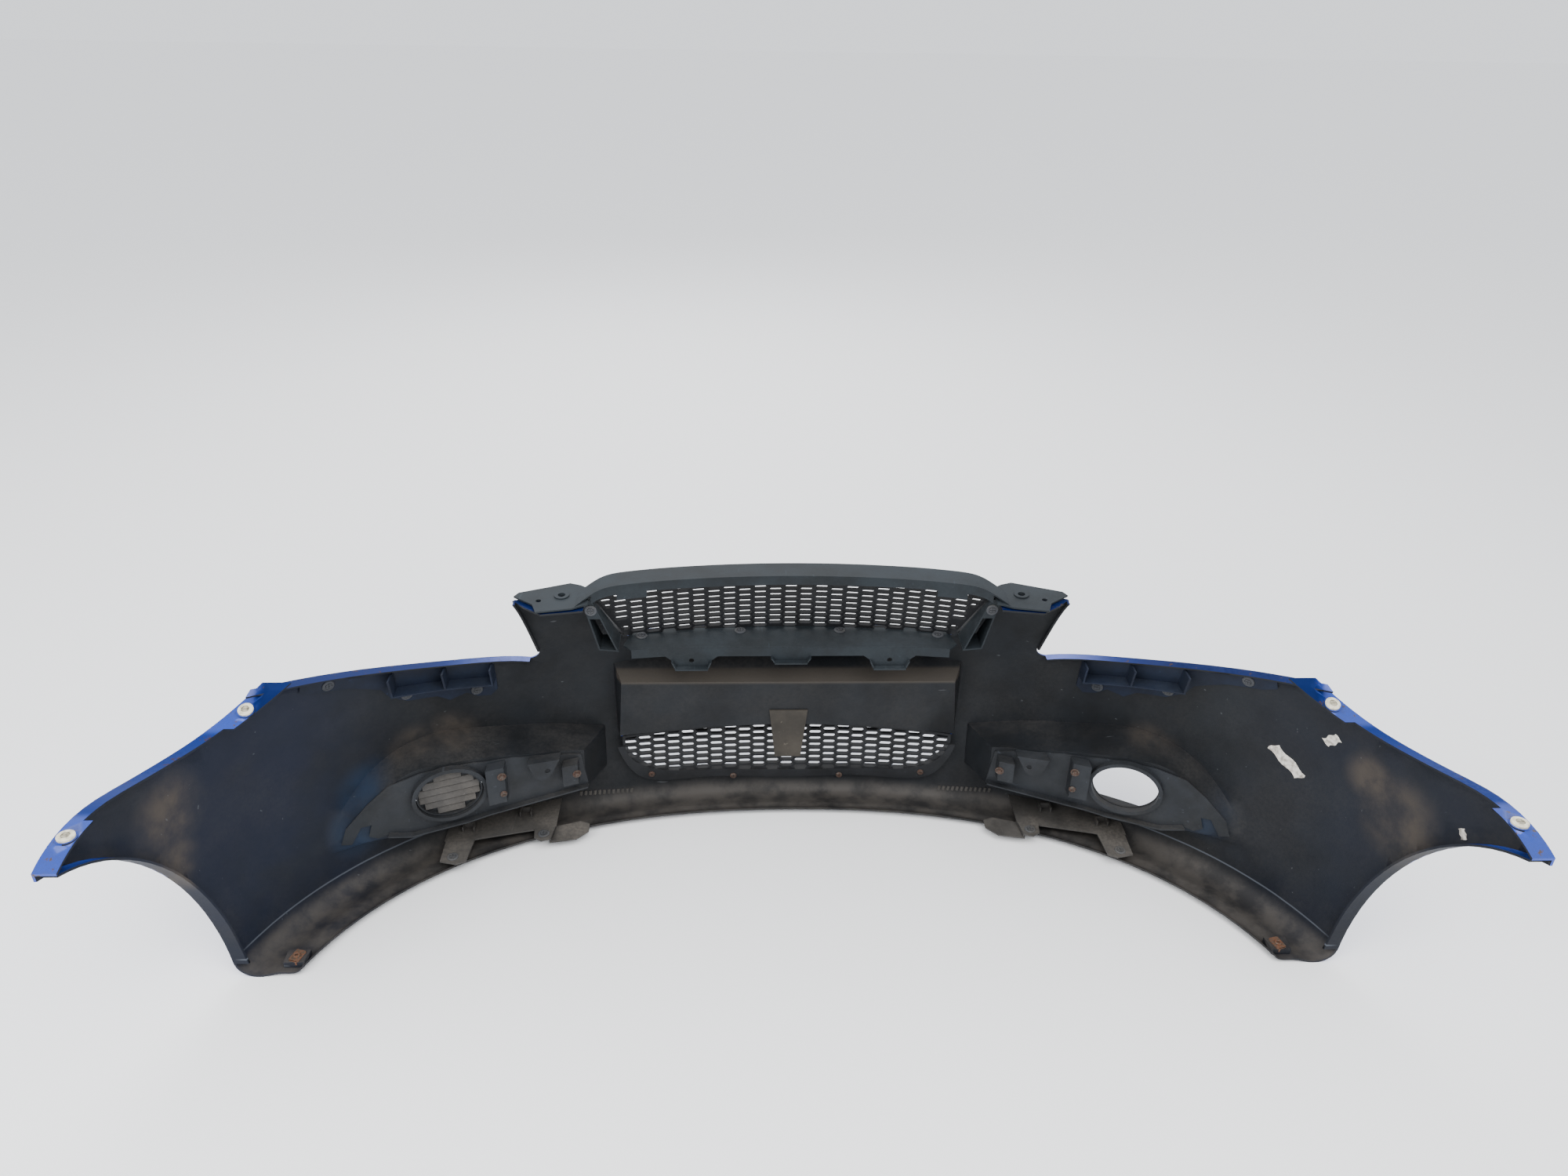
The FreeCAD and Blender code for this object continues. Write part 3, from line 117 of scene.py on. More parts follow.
class FastenerSettings(bpy.types.PropertyGroup):
    clip_radius: bpy.props.FloatProperty(
        name="Clip head", description="Radius of a push clip's head",
        default=0.009, min=0.004, max=0.012, subtype="DISTANCE", unit="LENGTH",
    )
    screw_radius: bpy.props.FloatProperty(
        name="Screw head", description="Radius of a screw's head",
        default=0.0055, min=0.003, max=0.008, subtype="DISTANCE", unit="LENGTH",
    )
    steps: bpy.props.IntProperty(
        name="Steps", description="Facets round a turned head", default=40, min=12, max=96,
    )


class TrimSettings(bpy.types.PropertyGroup):
    rib_count: bpy.props.IntProperty(
        name="Ribs", description="Ribs of each serrated strip on the bottom return",
        default=12, min=2, max=30,
    )
    rib_height: bpy.props.FloatProperty(
        name="Rib height", description="Height of those ribs",
        default=0.0032, min=0.001, max=0.01, subtype="DISTANCE", unit="LENGTH",
    )
    tape_thickness: bpy.props.FloatProperty(
        name="Tape", description="Thickness of the tape remnants",
        default=0.0005, min=0.0001, max=0.002, subtype="DISTANCE", unit="LENGTH",
    )


class StageSettings(bpy.types.PropertyGroup):
    key_power: bpy.props.FloatProperty(
        name="Key light", description="Power of the large light above the floor",
        default=95.0, min=0.0, unit="POWER",
    )
    sky_strength: bpy.props.FloatProperty(
        name="Sky", description="Strength of the even light from all round", default=1.5, min=0.0,
    )


# ---------------------------------------------------------------- materials


def rgb(values):
    """Three sRGB values of a hex text, or the values themselves."""
    if isinstance(values, str):
        return [int(values[i:i + 2], 16) / 255 for i in (0, 2, 4)]
    return list(values)


def linear(values):
    """Linear RGBA of an sRGB colour given as three values or as a hex text."""
    turned_linear = [v / 12.92 if v <= 0.04045 else ((v + 0.055) / 1.055) ** 2.4 for v in rgb(values)]
    return (*turned_linear, 1.0)


def brighter(values, factor):
    """The same colour with its sRGB values scaled and kept within range."""
    return linear([min(v * factor, 1.0) for v in rgb(values)])


def add_node(tree, kind, settings=None, **values):
    """Adds a shader node. Values go to inputs by name, or by number as i0, i1 and so on."""
    node = tree.nodes.new("ShaderNode" + kind)
    for name, value in (settings or {}).items():
        setattr(node, name, value)
    for name, value in values.items():
        key = int(name[1:]) if name[0] == "i" and name[1:].isdigit() else name.replace("_", " ")
        if isinstance(value, bpy.types.NodeSocket):
            tree.links.new(value, node.inputs[key])
        else:
            node.inputs[key].default_value = value
    return node


def product(tree, a, b):
    """Share where both masks hold."""
    return add_node(tree, "Math", {"operation": "MULTIPLY", "use_clamp": True}, i0=a, i1=b).outputs[0]


def highest(tree, a, b):
    """Share where either mask holds."""
    return add_node(tree, "Math", {"operation": "MAXIMUM", "use_clamp": True}, i0=a, i1=b).outputs[0]


def ramp(tree, value, low, high, foot=0.0, top=1.0):
    """Smooth step of a value from foot at low to top at high."""
    node = add_node(
        tree, "MapRange", {"interpolation_type": "SMOOTHSTEP"},
        i0=value, i1=low, i2=high, i3=foot, i4=top,
    )
    return node.outputs[0]


def band(tree, value, ends):
    """1 between two ends, each of them a stretch over which it fades."""
    (low_out, low_in), (high_in, high_out) = ends
    return product(tree, ramp(tree, value, low_out, low_in), ramp(tree, value, high_out, high_in))


def size_of(tree, value):
    """Value without its sign, for what is the same on both wings."""
    return add_node(tree, "Math", {"operation": "ABSOLUTE"}, i0=value).outputs[0]


def blend(tree, share, a, b):
    """Colour between a and b by a share of b."""
    node = add_node(tree, "Mix", {"data_type": "RGBA"}, i0=share, i6=a, i7=b)
    return node.outputs[2]


def noise(tree, coords, size_mm, detail=3.0, stretch=None):
    """Noise whose blotches are about size_mm across; stretch scales each axis."""
    if stretch:
        coords = add_node(tree, "Mapping", Vector=coords, Scale=stretch).outputs[0]
    node = add_node(tree, "TexNoise", Vector=coords, Scale=1000.0 / size_mm, Detail=detail, Roughness=0.6)
    return node.outputs[0]


def patches(tree, coords, spots):
    """Soft round patches, each about a point and with a radius, in metres."""
    joined = 0.0
    for centre, radius in spots:
        distance = add_node(tree, "VectorMath", {"operation": "DISTANCE"}, i0=coords, i1=centre)
        patch = ramp(tree, distance.outputs["Value"], radius, radius * 0.25)
        joined = highest(tree, joined, patch)
    return joined


def start_material(name):
    """A material with its tree, its shader and the object's own coordinates."""
    material = bpy.data.materials.new(name)
    material.use_nodes = True
    tree = material.node_tree
    shader = tree.nodes["Principled BSDF"]
    coords = add_node(tree, "TexCoord").outputs["Object"]
    return material, tree, shader, coords


def upward(tree):
    """1 on faces that look up, 0 on those that look down."""
    normal = add_node(tree, "NewGeometry").outputs["Normal"]
    height = add_node(tree, "SeparateXYZ", Vector=normal).outputs["Z"]
    return ramp(tree, height, -0.25, 0.85)


def add_grain(tree, shader, coords, size_mm, strength):
    """Fine moulding grain or dirt as a bump."""
    grain = noise(tree, coords, size_mm, 2.0)
    bump = add_node(tree, "Bump", Strength=strength, Distance=0.0004, Height=grain)
    tree.links.new(bump.outputs[0], shader.inputs["Normal"])


def dust_mask(tree, coords, amount):
    """Dust gathers on faces that look up, in large clouds with a fine speckle."""
    clouds = ramp(tree, noise(tree, coords, 130.0, 5.0), 0.36, 0.68, 0.15, 1.0)
    speckle = ramp(tree, noise(tree, coords, 5.0, 4.0), 0.3, 0.7, 0.5, 1.0)
    lying = ramp(tree, upward(tree), 0.0, 1.0, 0.3, 1.0)
    return product(tree, product(tree, clouds, speckle), product(tree, lying, amount))


def dusty_plastic(name, base, dust, amount):
    """Injection-moulded plastic with a fine grain and dried road dust."""
    material, tree, shader, coords = start_material(name)
    tone = ramp(tree, noise(tree, coords, 60.0, 4.0), 0.3, 0.7)
    plastic = blend(tree, tone, linear(base), brighter(base, 1.45))
    mask = dust_mask(tree, coords, amount)
    scratches = ramp(tree, noise(tree, coords, 9.0, 2.0, (1.0, 0.12, 1.0)), 0.68, 0.74, 0.0, 0.3)
    worn = blend(tree, scratches, plastic, brighter(base, 2.6))
    tree.links.new(blend(tree, mask, worn, linear(dust)), shader.inputs["Base Color"])
    tree.links.new(ramp(tree, mask, 0.0, 0.8, 0.62, 0.95), shader.inputs["Roughness"])
    shader.inputs["Specular IOR Level"].default_value = 0.2
    add_grain(tree, shader, coords, 1.4, 0.25)
    return material


def cover_plastic(settings):
    """Inner face of the cover: black polypropylene with dust, blue overspray and dried mud."""
    material, tree, shader, coords = start_material("cover_polypropylene_moulded")
    dust = linear(settings.dust)
    tone = ramp(tree, noise(tree, coords, 90.0, 5.0), 0.3, 0.72)
    plastic = blend(tree, tone, linear(settings.plastic), brighter(settings.plastic, 1.5))
    place = add_node(tree, "SeparateXYZ", Vector=coords)
    # Overspray reaches the wings' inner faces, more on the left than on the right.
    left_wing = ramp(tree, place.outputs["X"], 0.56, 0.72, 0.0, 0.7)
    right_wing = ramp(tree, place.outputs["X"], -0.62, -0.8, 0.0, 0.4)
    cloud = ramp(tree, noise(tree, coords, 160.0, 3.0), 0.3, 0.6, 0.45, 1.0)
    overspray = product(tree, highest(tree, left_wing, right_wing), cloud)
    tinted = blend(tree, overspray, plastic, linear("0c1528"))
    clouds = dust_mask(tree, coords, settings.dust_amount)
    dusted = blend(tree, clouds, tinted, dust)
    # The bottom return lies flat and carries the most dust.
    low = ramp(tree, place.outputs["Z"], 0.03, 0.012, 0.0, 0.75)
    lying = product(tree, low, upward(tree))
    streaks = ramp(tree, noise(tree, coords, 45.0, 6.0), 0.34, 0.62, 0.25, 1.0)
    dusted = blend(tree, product(tree, lying, streaks), dusted, linear("47433f"))
    # Dried mud on the bends of the fog recesses and on the wings.
    mud = patches(tree, coords, MUD_SPOTS)
    ragged = ramp(tree, noise(tree, coords, 55.0, 5.0), 0.32, 0.66, 0.15, 0.75)
    muddy = blend(tree, product(tree, mud, ragged), dusted, linear("463f38"))
    # Blue-grey film on the outer side walls of the fog recesses.
    film = patches(tree, coords, FILM_SPOTS)
    smooth = ramp(tree, noise(tree, coords, 70.0, 4.0), 0.3, 0.65, 0.3, 0.75)
    filmed = blend(tree, product(tree, film, smooth), muddy, linear("223146"))
    # Dust lies thickest on the roof of the number-plate recess. Its front strip is left bare and dark as
    # painted shade.
    across = size_of(tree, place.outputs["X"])
    inside = ramp(tree, across, PLATE_RECESS_HALF_X, PLATE_RECESS_HALF_X - 0.01)
    near = ramp(tree, place.outputs["Y"], -0.288, -0.281)
    roof = band(tree, place.outputs["Z"], PLATE_ROOF_Z)
    ledge = product(tree, roof, product(tree, inside, near))
    filmed = blend(tree, product(tree, ledge, 0.8), filmed, linear("3f3a34"))
    # A pale line is painted along the crease between the wall and the bottom return on the wings.
    line = product(tree, band(tree, place.outputs["Z"], CREASE_Z), band(tree, across, CREASE_X))
    filmed = blend(tree, product(tree, line, 0.55), filmed, linear("5b6068"))
    scratches = ramp(tree, noise(tree, coords, 7.0, 2.0, (0.1, 1.0, 0.6)), 0.73, 0.78, 0.0, 0.25)
    tree.links.new(blend(tree, scratches, filmed, linear("6a6d70")), shader.inputs["Base Color"])
    tree.links.new(ramp(tree, clouds, 0.0, 0.7, 0.6, 0.92), shader.inputs["Roughness"])
    shader.inputs["Specular IOR Level"].default_value = 0.2
    add_grain(tree, shader, coords, 1.6, 0.3)
    return material


def painted_face(settings):
    """Sprayed metallic blue with clear coat, chipped down to primer and plastic at the flanges."""
    material, tree, shader, coords = start_material("cover_metallic_paint_sprayed")
    flake = noise(tree, coords, 0.9, 1.0)
    paint = blend(tree, flake, brighter(settings.paint, 0.82), brighter(settings.paint, 1.25))
    grime = dust_mask(tree, coords, 0.4)
    dirty = blend(tree, grime, paint, linear("3a3f4a"))
    place = add_node(tree, "SeparateXYZ", Vector=coords)
    flange = ramp(tree, place.outputs["Z"], 0.3, 0.34)
    chips = ramp(tree, noise(tree, coords, 11.0, 6.0), 0.62, 0.66)
    across = size_of(tree, place.outputs["X"])
    lying = ramp(tree, upward(tree), 0.4, 0.8)
    inner = product(tree, product(tree, ramp(tree, across, 0.735, 0.715), flange), lying)
    dirty = blend(tree, product(tree, inner, 0.9), dirty, linear("0b1738"))
    # Between the two grommets the flange is sprayed thinly over the dark plastic.
    between = band(tree, place.outputs["Y"], BETWEEN_GROMMETS_Y)
    thin = product(tree, product(tree, between, ramp(tree, place.outputs["Z"], 0.22, 0.24)), lying)
    dirty = blend(tree, product(tree, thin, 0.7), dirty, linear("122352"))
    chipped = blend(tree, product(tree, chips, flange), dirty, linear("3b2c28"))
    tree.links.new(chipped, shader.inputs["Base Color"])
    bare = add_node(tree, "Math", {"operation": "SUBTRACT", "use_clamp": True}, i0=0.3, i1=chips)
    tree.links.new(bare.outputs[0], shader.inputs["Metallic"])
    tree.links.new(ramp(tree, grime, 0.0, 0.5, 0.32, 0.7), shader.inputs["Roughness"])
    # Those thin, matt areas have no clear coat to shine.
    dull = highest(tree, inner, thin)
    tree.links.new(ramp(tree, dull, 0.0, 1.0, 0.4, 0.05), shader.inputs["Specular IOR Level"])
    tree.links.new(ramp(tree, dull, 0.0, 1.0, 0.4, 0.0), shader.inputs["Coat Weight"])
    shader.inputs["Coat Roughness"].default_value = 0.12
    return material


def rusted_steel(name, rust, bright):
    """Plated steel with most of the plating rusted through."""
    material, tree, shader, coords = start_material(name)
    mask = ramp(tree, noise(tree, coords, 3.0, 5.0), 0.36, 0.6)
    tree.links.new(blend(tree, mask, linear(bright), linear(rust)), shader.inputs["Base Color"])
    tree.links.new(ramp(tree, mask, 0.0, 1.0, 0.6, 0.05), shader.inputs["Metallic"])
    tree.links.new(ramp(tree, mask, 0.0, 1.0, 0.45, 0.9), shader.inputs["Roughness"])
    add_grain(tree, shader, coords, 0.8, 0.5)
    return material


def aged_nylon(name, base, grime, amount):
    """Moulded nylon with grime in large soft blotches."""
    material, tree, shader, coords = start_material(name)
    mask = ramp(tree, noise(tree, coords, 7.0, 4.0), 0.4, 0.7, 0.0, amount)
    tree.links.new(blend(tree, mask, linear(base), linear(grime)), shader.inputs["Base Color"])
    shader.inputs["Roughness"].default_value = 0.5
    return material


# ---------------------------------------------------------------- shapes


def put_piece(context, name, bm, body, materials, angle=0.6):
    """Turns a bmesh into an object that rides on a body."""
    bmesh.ops.recalc_face_normals(bm, faces=bm.faces[:])
    mesh = bpy.data.meshes.new(name)
    bm.to_mesh(mesh)
    bm.free()
    for material in materials:
        mesh.materials.append(material)
    mesh.shade_smooth()
    mesh.set_sharp_from_angle(angle=angle)
    piece = bpy.data.objects.new(name, mesh)
    context.scene.collection.objects.link(piece)
    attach(piece, body)
    return piece


def stamp(target, unit, place):
    """Adds a unit, drawn about the origin in metres, to a bmesh at a place."""
    mesh = bpy.data.meshes.new("stamp")
    unit.transform(place)
    unit.to_mesh(mesh)
    unit.free()
    target.from_mesh(mesh)
    bpy.data.meshes.remove(mesh)


def turned(bm, profile_mm, steps):
    """Adds a solid of revolution about Z; the profile lists radius and height in mm."""
    points = [bm.verts.new((r * MM, 0.0, z * MM)) for r, z in profile_mm]
    lines = [bm.edges.new(pair) for pair in zip(points, points[1:])]
    bmesh.ops.spin(
        bm, geom=points + lines, cent=(0, 0, 0), axis=(0, 0, 1), dvec=(0, 0, 0),
        angle=2 * math.pi, steps=steps, use_merge=True, use_duplicate=False,
    )
    bmesh.ops.remove_doubles(bm, verts=bm.verts[:], dist=1e-6)


def prism(bm, outline_mm, low_mm, high_mm):
    """Adds a prism along Z over an outline of points in mm."""
    foot = [bm.verts.new((x * MM, y * MM, low_mm * MM)) for x, y in outline_mm]
    face = bm.faces.new(foot)
    raised = bmesh.ops.extrude_face_region(bm, geom=[face])["geom"]
    tops = [item for item in raised if isinstance(item, bmesh.types.BMVert)]
    bmesh.ops.translate(bm, verts=tops, vec=(0, 0, (high_mm - low_mm) * MM))


def quarters(bm, radius_mm, half_gap_mm, low_mm, high_mm):
    """Adds the four quarters that a cross slot leaves of a round head."""
    start = math.asin(half_gap_mm / radius_mm)
    arc_points = 7
    for quarter in range(4):
        turn = quarter * math.pi / 2
        outline = [(half_gap_mm, half_gap_mm)]
        for k in range(arc_points):
            angle = start + (math.pi / 2 - 2 * start) * k / (arc_points - 1)
            outline.append((radius_mm * math.cos(angle), radius_mm * math.sin(angle)))
        c, s = math.cos(turn), math.sin(turn)
        prism(bm, [(x * c - y * s, x * s + y * c) for x, y in outline], low_mm, high_mm)


def push_clip(settings):
    """Push clip: dished head with a raised rim round a cross-slotted pin."""
    bm = bmesh.new()
    r = settings.clip_radius / MM
    turned(bm, [
        (0, -5), (2.4, -5), (3.3, -3.6), (3.3, 0.05), (r, 0.05), (r, 0.7), (r - 0.35, 1.15),
        (r - 1.0, 1.4), (r * 0.68, 1.75), (r * 0.6, 1.6), (r * 0.57, 0.8), (0, 0.8),
    ], settings.steps)
    quarters(bm, r * 0.5, 0.5, 0.7, 1.9)
    return bm


def pan_screw(settings):
    """Pan-head screw with a cross recess."""
    bm = bmesh.new()
    r = settings.screw_radius / MM
    turned(bm, [
        (0, -5), (2.2, -5), (2.2, 0.05), (r, 0.05), (r, 0.8), (r * 0.93, 1.5), (r * 0.75, 2.2),
        (r * 0.58, 2.5), (r * 0.5, 2.4), (r * 0.47, 1.2), (0, 1.2),
    ], settings.steps)
    quarters(bm, r * 0.48, 0.45, 1.1, 2.45)
    return bm


def flanged_bolt(settings):
    """Hexagon bolt head on its round flange."""
    bm = bmesh.new()
    r = settings.screw_radius / MM
    turned(bm, [
        (0, -5), (2.2, -5), (2.2, 0.05), (r * 1.25, 0.05), (r * 1.25, 0.7), (r, 1.2), (0, 1.2),
    ], settings.steps)
    corner = r * 0.86
    head = 4.4
    turns = [k * math.pi / 3 for k in range(6)]
    prism(bm, [(corner * math.cos(a), corner * math.sin(a)) for a in turns], 1.1, head)
    top = [edge for edge in bm.edges if all(v.co.z > (head - 0.1) * MM for v in edge.verts)]
    bmesh.ops.bevel(
        bm, geom=top, offset=0.5 * MM, affect="EDGES", segments=2, profile=0.5, material=-1,
    )
    return bm


def folded_nut(settings):
    """Spring-steel leaf with a folded end, clipped corners and a raised threaded collar."""
    bm = bmesh.new()
    leaf = [(-8, -10), (-6, -12), (6, -12), (8, -10), (8, 8), (6, 10), (-6, 10), (-8, 8)]
    prism(bm, leaf, 0.0, 1.2)
    prism(bm, [(-6, 9.2), (6, 9.2), (6, 10.4), (-6, 10.4)], -5.0, 1.2)
    collar = [(2.4, 0.2), (4.9, 0.2), (4.7, 3.6), (4.2, 4.2), (2.8, 4.2), (2.4, 3.7), (2.4, 0.2)]
    turned(bm, collar, settings.steps)
    return bm


def loose_parts(bm):
    """Vertices of each separate solid of a mesh."""
    parts = []
    for first in bm.verts:
        if first.tag:
            continue
        first.tag = True
        part = [first]
        for vertex in part:
            for edge in vertex.link_edges:
                other = edge.other_vert(vertex)
                if not other.tag:
                    other.tag = True
                    part.append(other)
        parts.append(part)
    return parts


def seats(node):
    """Place of each fastener of a CAD node: Z along its axis, origin under its head."""
    bm = bmesh.new()
    bm.from_mesh(frame["nodes"][node].data)
    bmesh.ops.remove_doubles(bm, verts=bm.verts[:], dist=1e-6)
    places = []
    for part in loose_parts(bm):
        faces = {face for vertex in part for face in vertex.link_faces}
        spread = numpy.zeros((3, 3))
        for face in faces:
            spread += face.calc_area() * numpy.outer(face.normal, face.normal)
        values, vectors = numpy.linalg.eigh(spread)
        lone = 2 if values[2] - values[1] > values[1] - values[0] else 0
        axis = vectors[:, lone]
        points = numpy.array([vertex.co for vertex in part])
        middle = (points.max(axis=0) + points.min(axis=0)) / 2
        along = (points - middle) @ axis
        radial = numpy.linalg.norm(points - middle - numpy.outer(along, axis), axis=1)
        top_radius = radial[along > along.max() - 1e-5].max()
        foot_radius = radial[along < along.min() + 1e-5].max()
        if foot_radius > top_radius:
            axis = -axis
            along = -along
        seat = middle + axis * along[radial > radial.max() * 0.9].min()
        turn = Vector(axis).to_track_quat("Z", "Y").to_matrix().to_4x4()
        places.append(Matrix.Translation(Vector(seat)) @ turn)
    bm.free()
    return places


def replace_fasteners(context, nodes, units, material):
    """One piece of detailed fasteners in place of each CAD group."""
    settings = context.scene.bumper_fasteners
    for node in nodes:
        bm = bmesh.new()
        for index, place in enumerate(seats(node)):
            stamp(bm, units[index % len(units)](settings), place)
        piece = put_piece(context, node + "_detailed", bm, "root", [material])
        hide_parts(node)


# ---------------------------------------------------------------- operators


class BUMPER_OT_cover(bpy.types.Operator):
    """Copies the cover's shell and gives it a painted outer face and a plastic inner face"""

    bl_idname = "bumper.cover"
    bl_label = "Cover shell"

    def execute(self, context):
        settings = context.scene.bumper_finish
        bm = bmesh.new()
        bm.from_mesh(frame["nodes"]["bumper_cover"].data)
        bmesh.ops.remove_doubles(bm, verts=bm.verts[:], dist=1e-6)
        tree = BVHTree.FromBMesh(bm)
        for face in bm.faces:
            face.material_index = int(is_painted(tree, face.calc_center_median(), face.normal))
        materials = [cover_plastic(settings), painted_face(settings)]
        crease = settings.crease_angle
        piece = put_piece(context, "cover_shell", bm, "root", materials, crease)
        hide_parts("bumper_cover")
        return {"FINISHED"}


def is_painted(tree, centre, normal):
    """True on the outer face, the plate recess, the headlamp edge and the fender flange."""
    if centre.z > HEADLAMP_EDGE_Z and normal.z > 0.35 and abs(centre.x) > 0.4:
        return True
    if abs(centre.x) < PLATE_RECESS_HALF_X:
        low, high = PLATE_FLOOR_Z
        on_floor = low < centre.z < high and centre.y < PLATE_FLOOR_REAR_Y and normal.z > 0.3
        if normal.y < -0.7 or on_floor:
            return True
    outward = Vector((centre.x, centre.y - 0.25, 0.0))
    if normal.dot(outward) < 0.0 or normal.dot(centre - Vector((0.0, 0.0, 0.2))) < 0.0:
        return False
    # Faces inside a recess or behind the skin look at another part of the cover.
    start = centre + normal * 0.001
    return all(tree.ray_cast(start, way)[0] is None for way in (normal, outward.normalized()))


class BUMPER_OT_cad_finishes(bpy.types.Operator):
    """Gives each other CAD moulding its own finish"""

    bl_idname = "bumper.cad_finishes"
    bl_label = "Moulding finishes"

    def execute(self, context):
        settings = context.scene.bumper_finish
        dust = list(settings.dust)
        amount = settings.dust_amount
        finishes = {
            "mesh_plastic": dusty_plastic("grille_mesh_abs_moulded", "141517", dust, amount * 0.7),
            "frame_plastic": dusty_plastic("grille_frame_plastic_weathered", "13171a", "3d4246", amount),
            "bracket_plastic": dusty_plastic("bracket_polypropylene_moulded", "181a1d", "46433f", amount),
            "grommet_nylon": aged_nylon("grommet_nylon_moulded", "d9d3bd", "6b6352", 0.6),
            "pin_nylon": aged_nylon("expansion_pin_nylon_moulded", "a59f8c", "3a362f", 0.9),
        }
        headlamp = dusty_plastic("headlamp_bracket_overspray", "0f141f", "2b313b", amount)
        tray = dusty_plastic("undertray_bracket_plastic_dusty", "2b2a29", "625d57", 0.9)
        stay = dusty_plastic("plate_stay_plastic_faded", "292622", "3f3b35", amount)
        for row in frame["record"]["subparts"]:
            node = row["node"]
            material = finishes.get(row["material_slot"])
            if node.startswith("headlamp_bracket") and "clips" not in node:
                material = headlamp
            if node.startswith("undertray_bracket"):
                material = tray
            if node == "plate_stay":
                material = stay
            if material:
                frame["nodes"][node].data.materials[0] = material
        return {"FINISHED"}


class BUMPER_OT_push_clips(bpy.types.Operator):
    """Puts a detailed push clip at each clip of the CAD model"""

    bl_idname = "bumper.push_clips"
    bl_label = "Push clips"

    def execute(self, context):
        material = dusty_plastic("push_clip_nylon_moulded", "292b2f", "69655e", 0.7)
        replace_fasteners(context, CLIP_NODES, [push_clip], material)
        return {"FINISHED"}


class BUMPER_OT_screws(bpy.types.Operator):
    """Puts a rusted screw or flanged bolt at each screw of the CAD model"""

    bl_idname = "bumper.screws"
    bl_label = "Screws"

    def execute(self, context):
        material = rusted_steel("screw_steel_zinc_plated_rusted", "3a2419", "4a443e")
        replace_fasteners(context, SCREW_NODES, [pan_screw], material)
        kinds = [flanged_bolt, pan_screw, flanged_bolt]
        replace_fasteners(context, POST_SCREW_NODES, kinds, material)
        return {"FINISHED"}


class BUMPER_OT_louvres(bpy.types.Operator):
    """Puts broad tilted slats on the blanking cover of the left fog-lamp hole"""

    bl_idname = "bumper.louvres"
    bl_label = "Blanking cover"

    def execute(self, context):
        low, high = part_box(LOUVRE_NODE)
        # The cover lies on the recess's back wall, which turns back towards the wheel.
        slope = 0.38
        across = Vector((1.0, slope, 0.0)).normalized()
        back = Vector((-slope, 1.0, 0.0)).normalized()
        depth = 9.0
        rim_wall = 2.6
        floor = 1.4
        wide = (high.x - low.x - depth * MM * abs(back.x)) / across.x / 2 / MM
        tall = (high.z - low.z) / 2 / MM
        middle = (low + high) / 2 - back * (depth * MM / 2)
        turn = Matrix((across, Vector((0, 0, 1)), back)).transposed().to_4x4()
        bm = bmesh.new()
        rim = bmesh.new()
        turned(rim, [
            (0, 0), (wide, 0), (wide, depth), (wide - rim_wall, depth), (wide - rim_wall, floor),
            (0, floor),
        ], 64)
        stamp(bm, rim, Matrix.Translation(middle) @ turn @ Matrix.Diagonal((1, tall / wide, 1, 1)))
        rim_faces = len(bm.faces)
        slats = 6
        pitch = 12.2
        # No slat is cut shorter than this share of the cover's half width.
        least = math.sqrt(0.12)
        turn = Matrix((back, Vector((0, 0, 1)), across)).transposed().to_4x4()
        for k in range(slats):
            level = (k - (slats - 1) / 2) * pitch
            far = max(abs(level - pitch / 2), abs(level + pitch / 2))
            half = (wide - 2.0) * max(math.sqrt(max(1 - (far / tall) ** 2, 0.0)), least)
            outline = [
                (1.2, level - 5.2), (5.2, level - 5.4), (6.0, level - 4.9), (3.4, level + 4.6),
                (2.6, level + 5.2), (1.2, level + 5.2),
            ]
            unit = bmesh.new()
            prism(unit, outline, -half, half)
            stamp(bm, unit, Matrix.Translation(middle) @ turn)
        bm.faces.ensure_lookup_table()
        for face in bm.faces[rim_faces:]:
            face.material_index = 1
        names = ("bracket_polypropylene_moulded", "undertray_bracket_plastic_dusty")
        materials = [bpy.data.materials[name] for name in names]
        piece = put_piece(context, "fog_louvre_cover", bm, "root", materials)
        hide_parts(LOUVRE_NODE)
        return {"FINISHED"}


class BUMPER_OT_spring_nuts(bpy.types.Operator):
    """Puts a folded spring nut at each bottom corner"""

    bl_idname = "bumper.spring_nuts"
    bl_label = "Spring nuts"

    def execute(self, context):
        material = rusted_steel("spring_steel_folded_rusted", "5e3b27", "62564a")
        settings = context.scene.bumper_fasteners
        for node in NUT_NODES:
            low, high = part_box(node)
            side = 1 if low.x > 0 else -1
            middle = (low + high) / 2
            # The leaf reaches 2 mm further forward than back from its bore.
            turn = Matrix.Rotation(math.radians(-18 * side), 4, "Z")
            shift = turn @ Vector((0.0, 0.001, 0.0))
            place = Matrix.Translation(Vector((middle.x, middle.y, low.z)) + shift) @ turn
            bm = bmesh.new()
            stamp(bm, folded_nut(settings), place)
            piece = put_piece(context, node + "_detailed", bm, "root", [material])
            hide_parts(node)
        return {"FINISHED"}


def cover_tree():
    """Tree of the cover's faces, to find where a line meets it."""
    bm = bmesh.new()
    bm.from_mesh(frame["nodes"]["bumper_cover"].data)
    tree = BVHTree.FromBMesh(bm)
    bm.free()
    return tree


def hit(tree, origin, direction):
    """Point and normal where a line meets the cover."""
    point, normal, _, _ = tree.ray_cast(Vector(origin), Vector(direction).normalized())
    if point is None:
        raise ValueError("a line from %s misses the cover" % (origin,))
    return point, normal


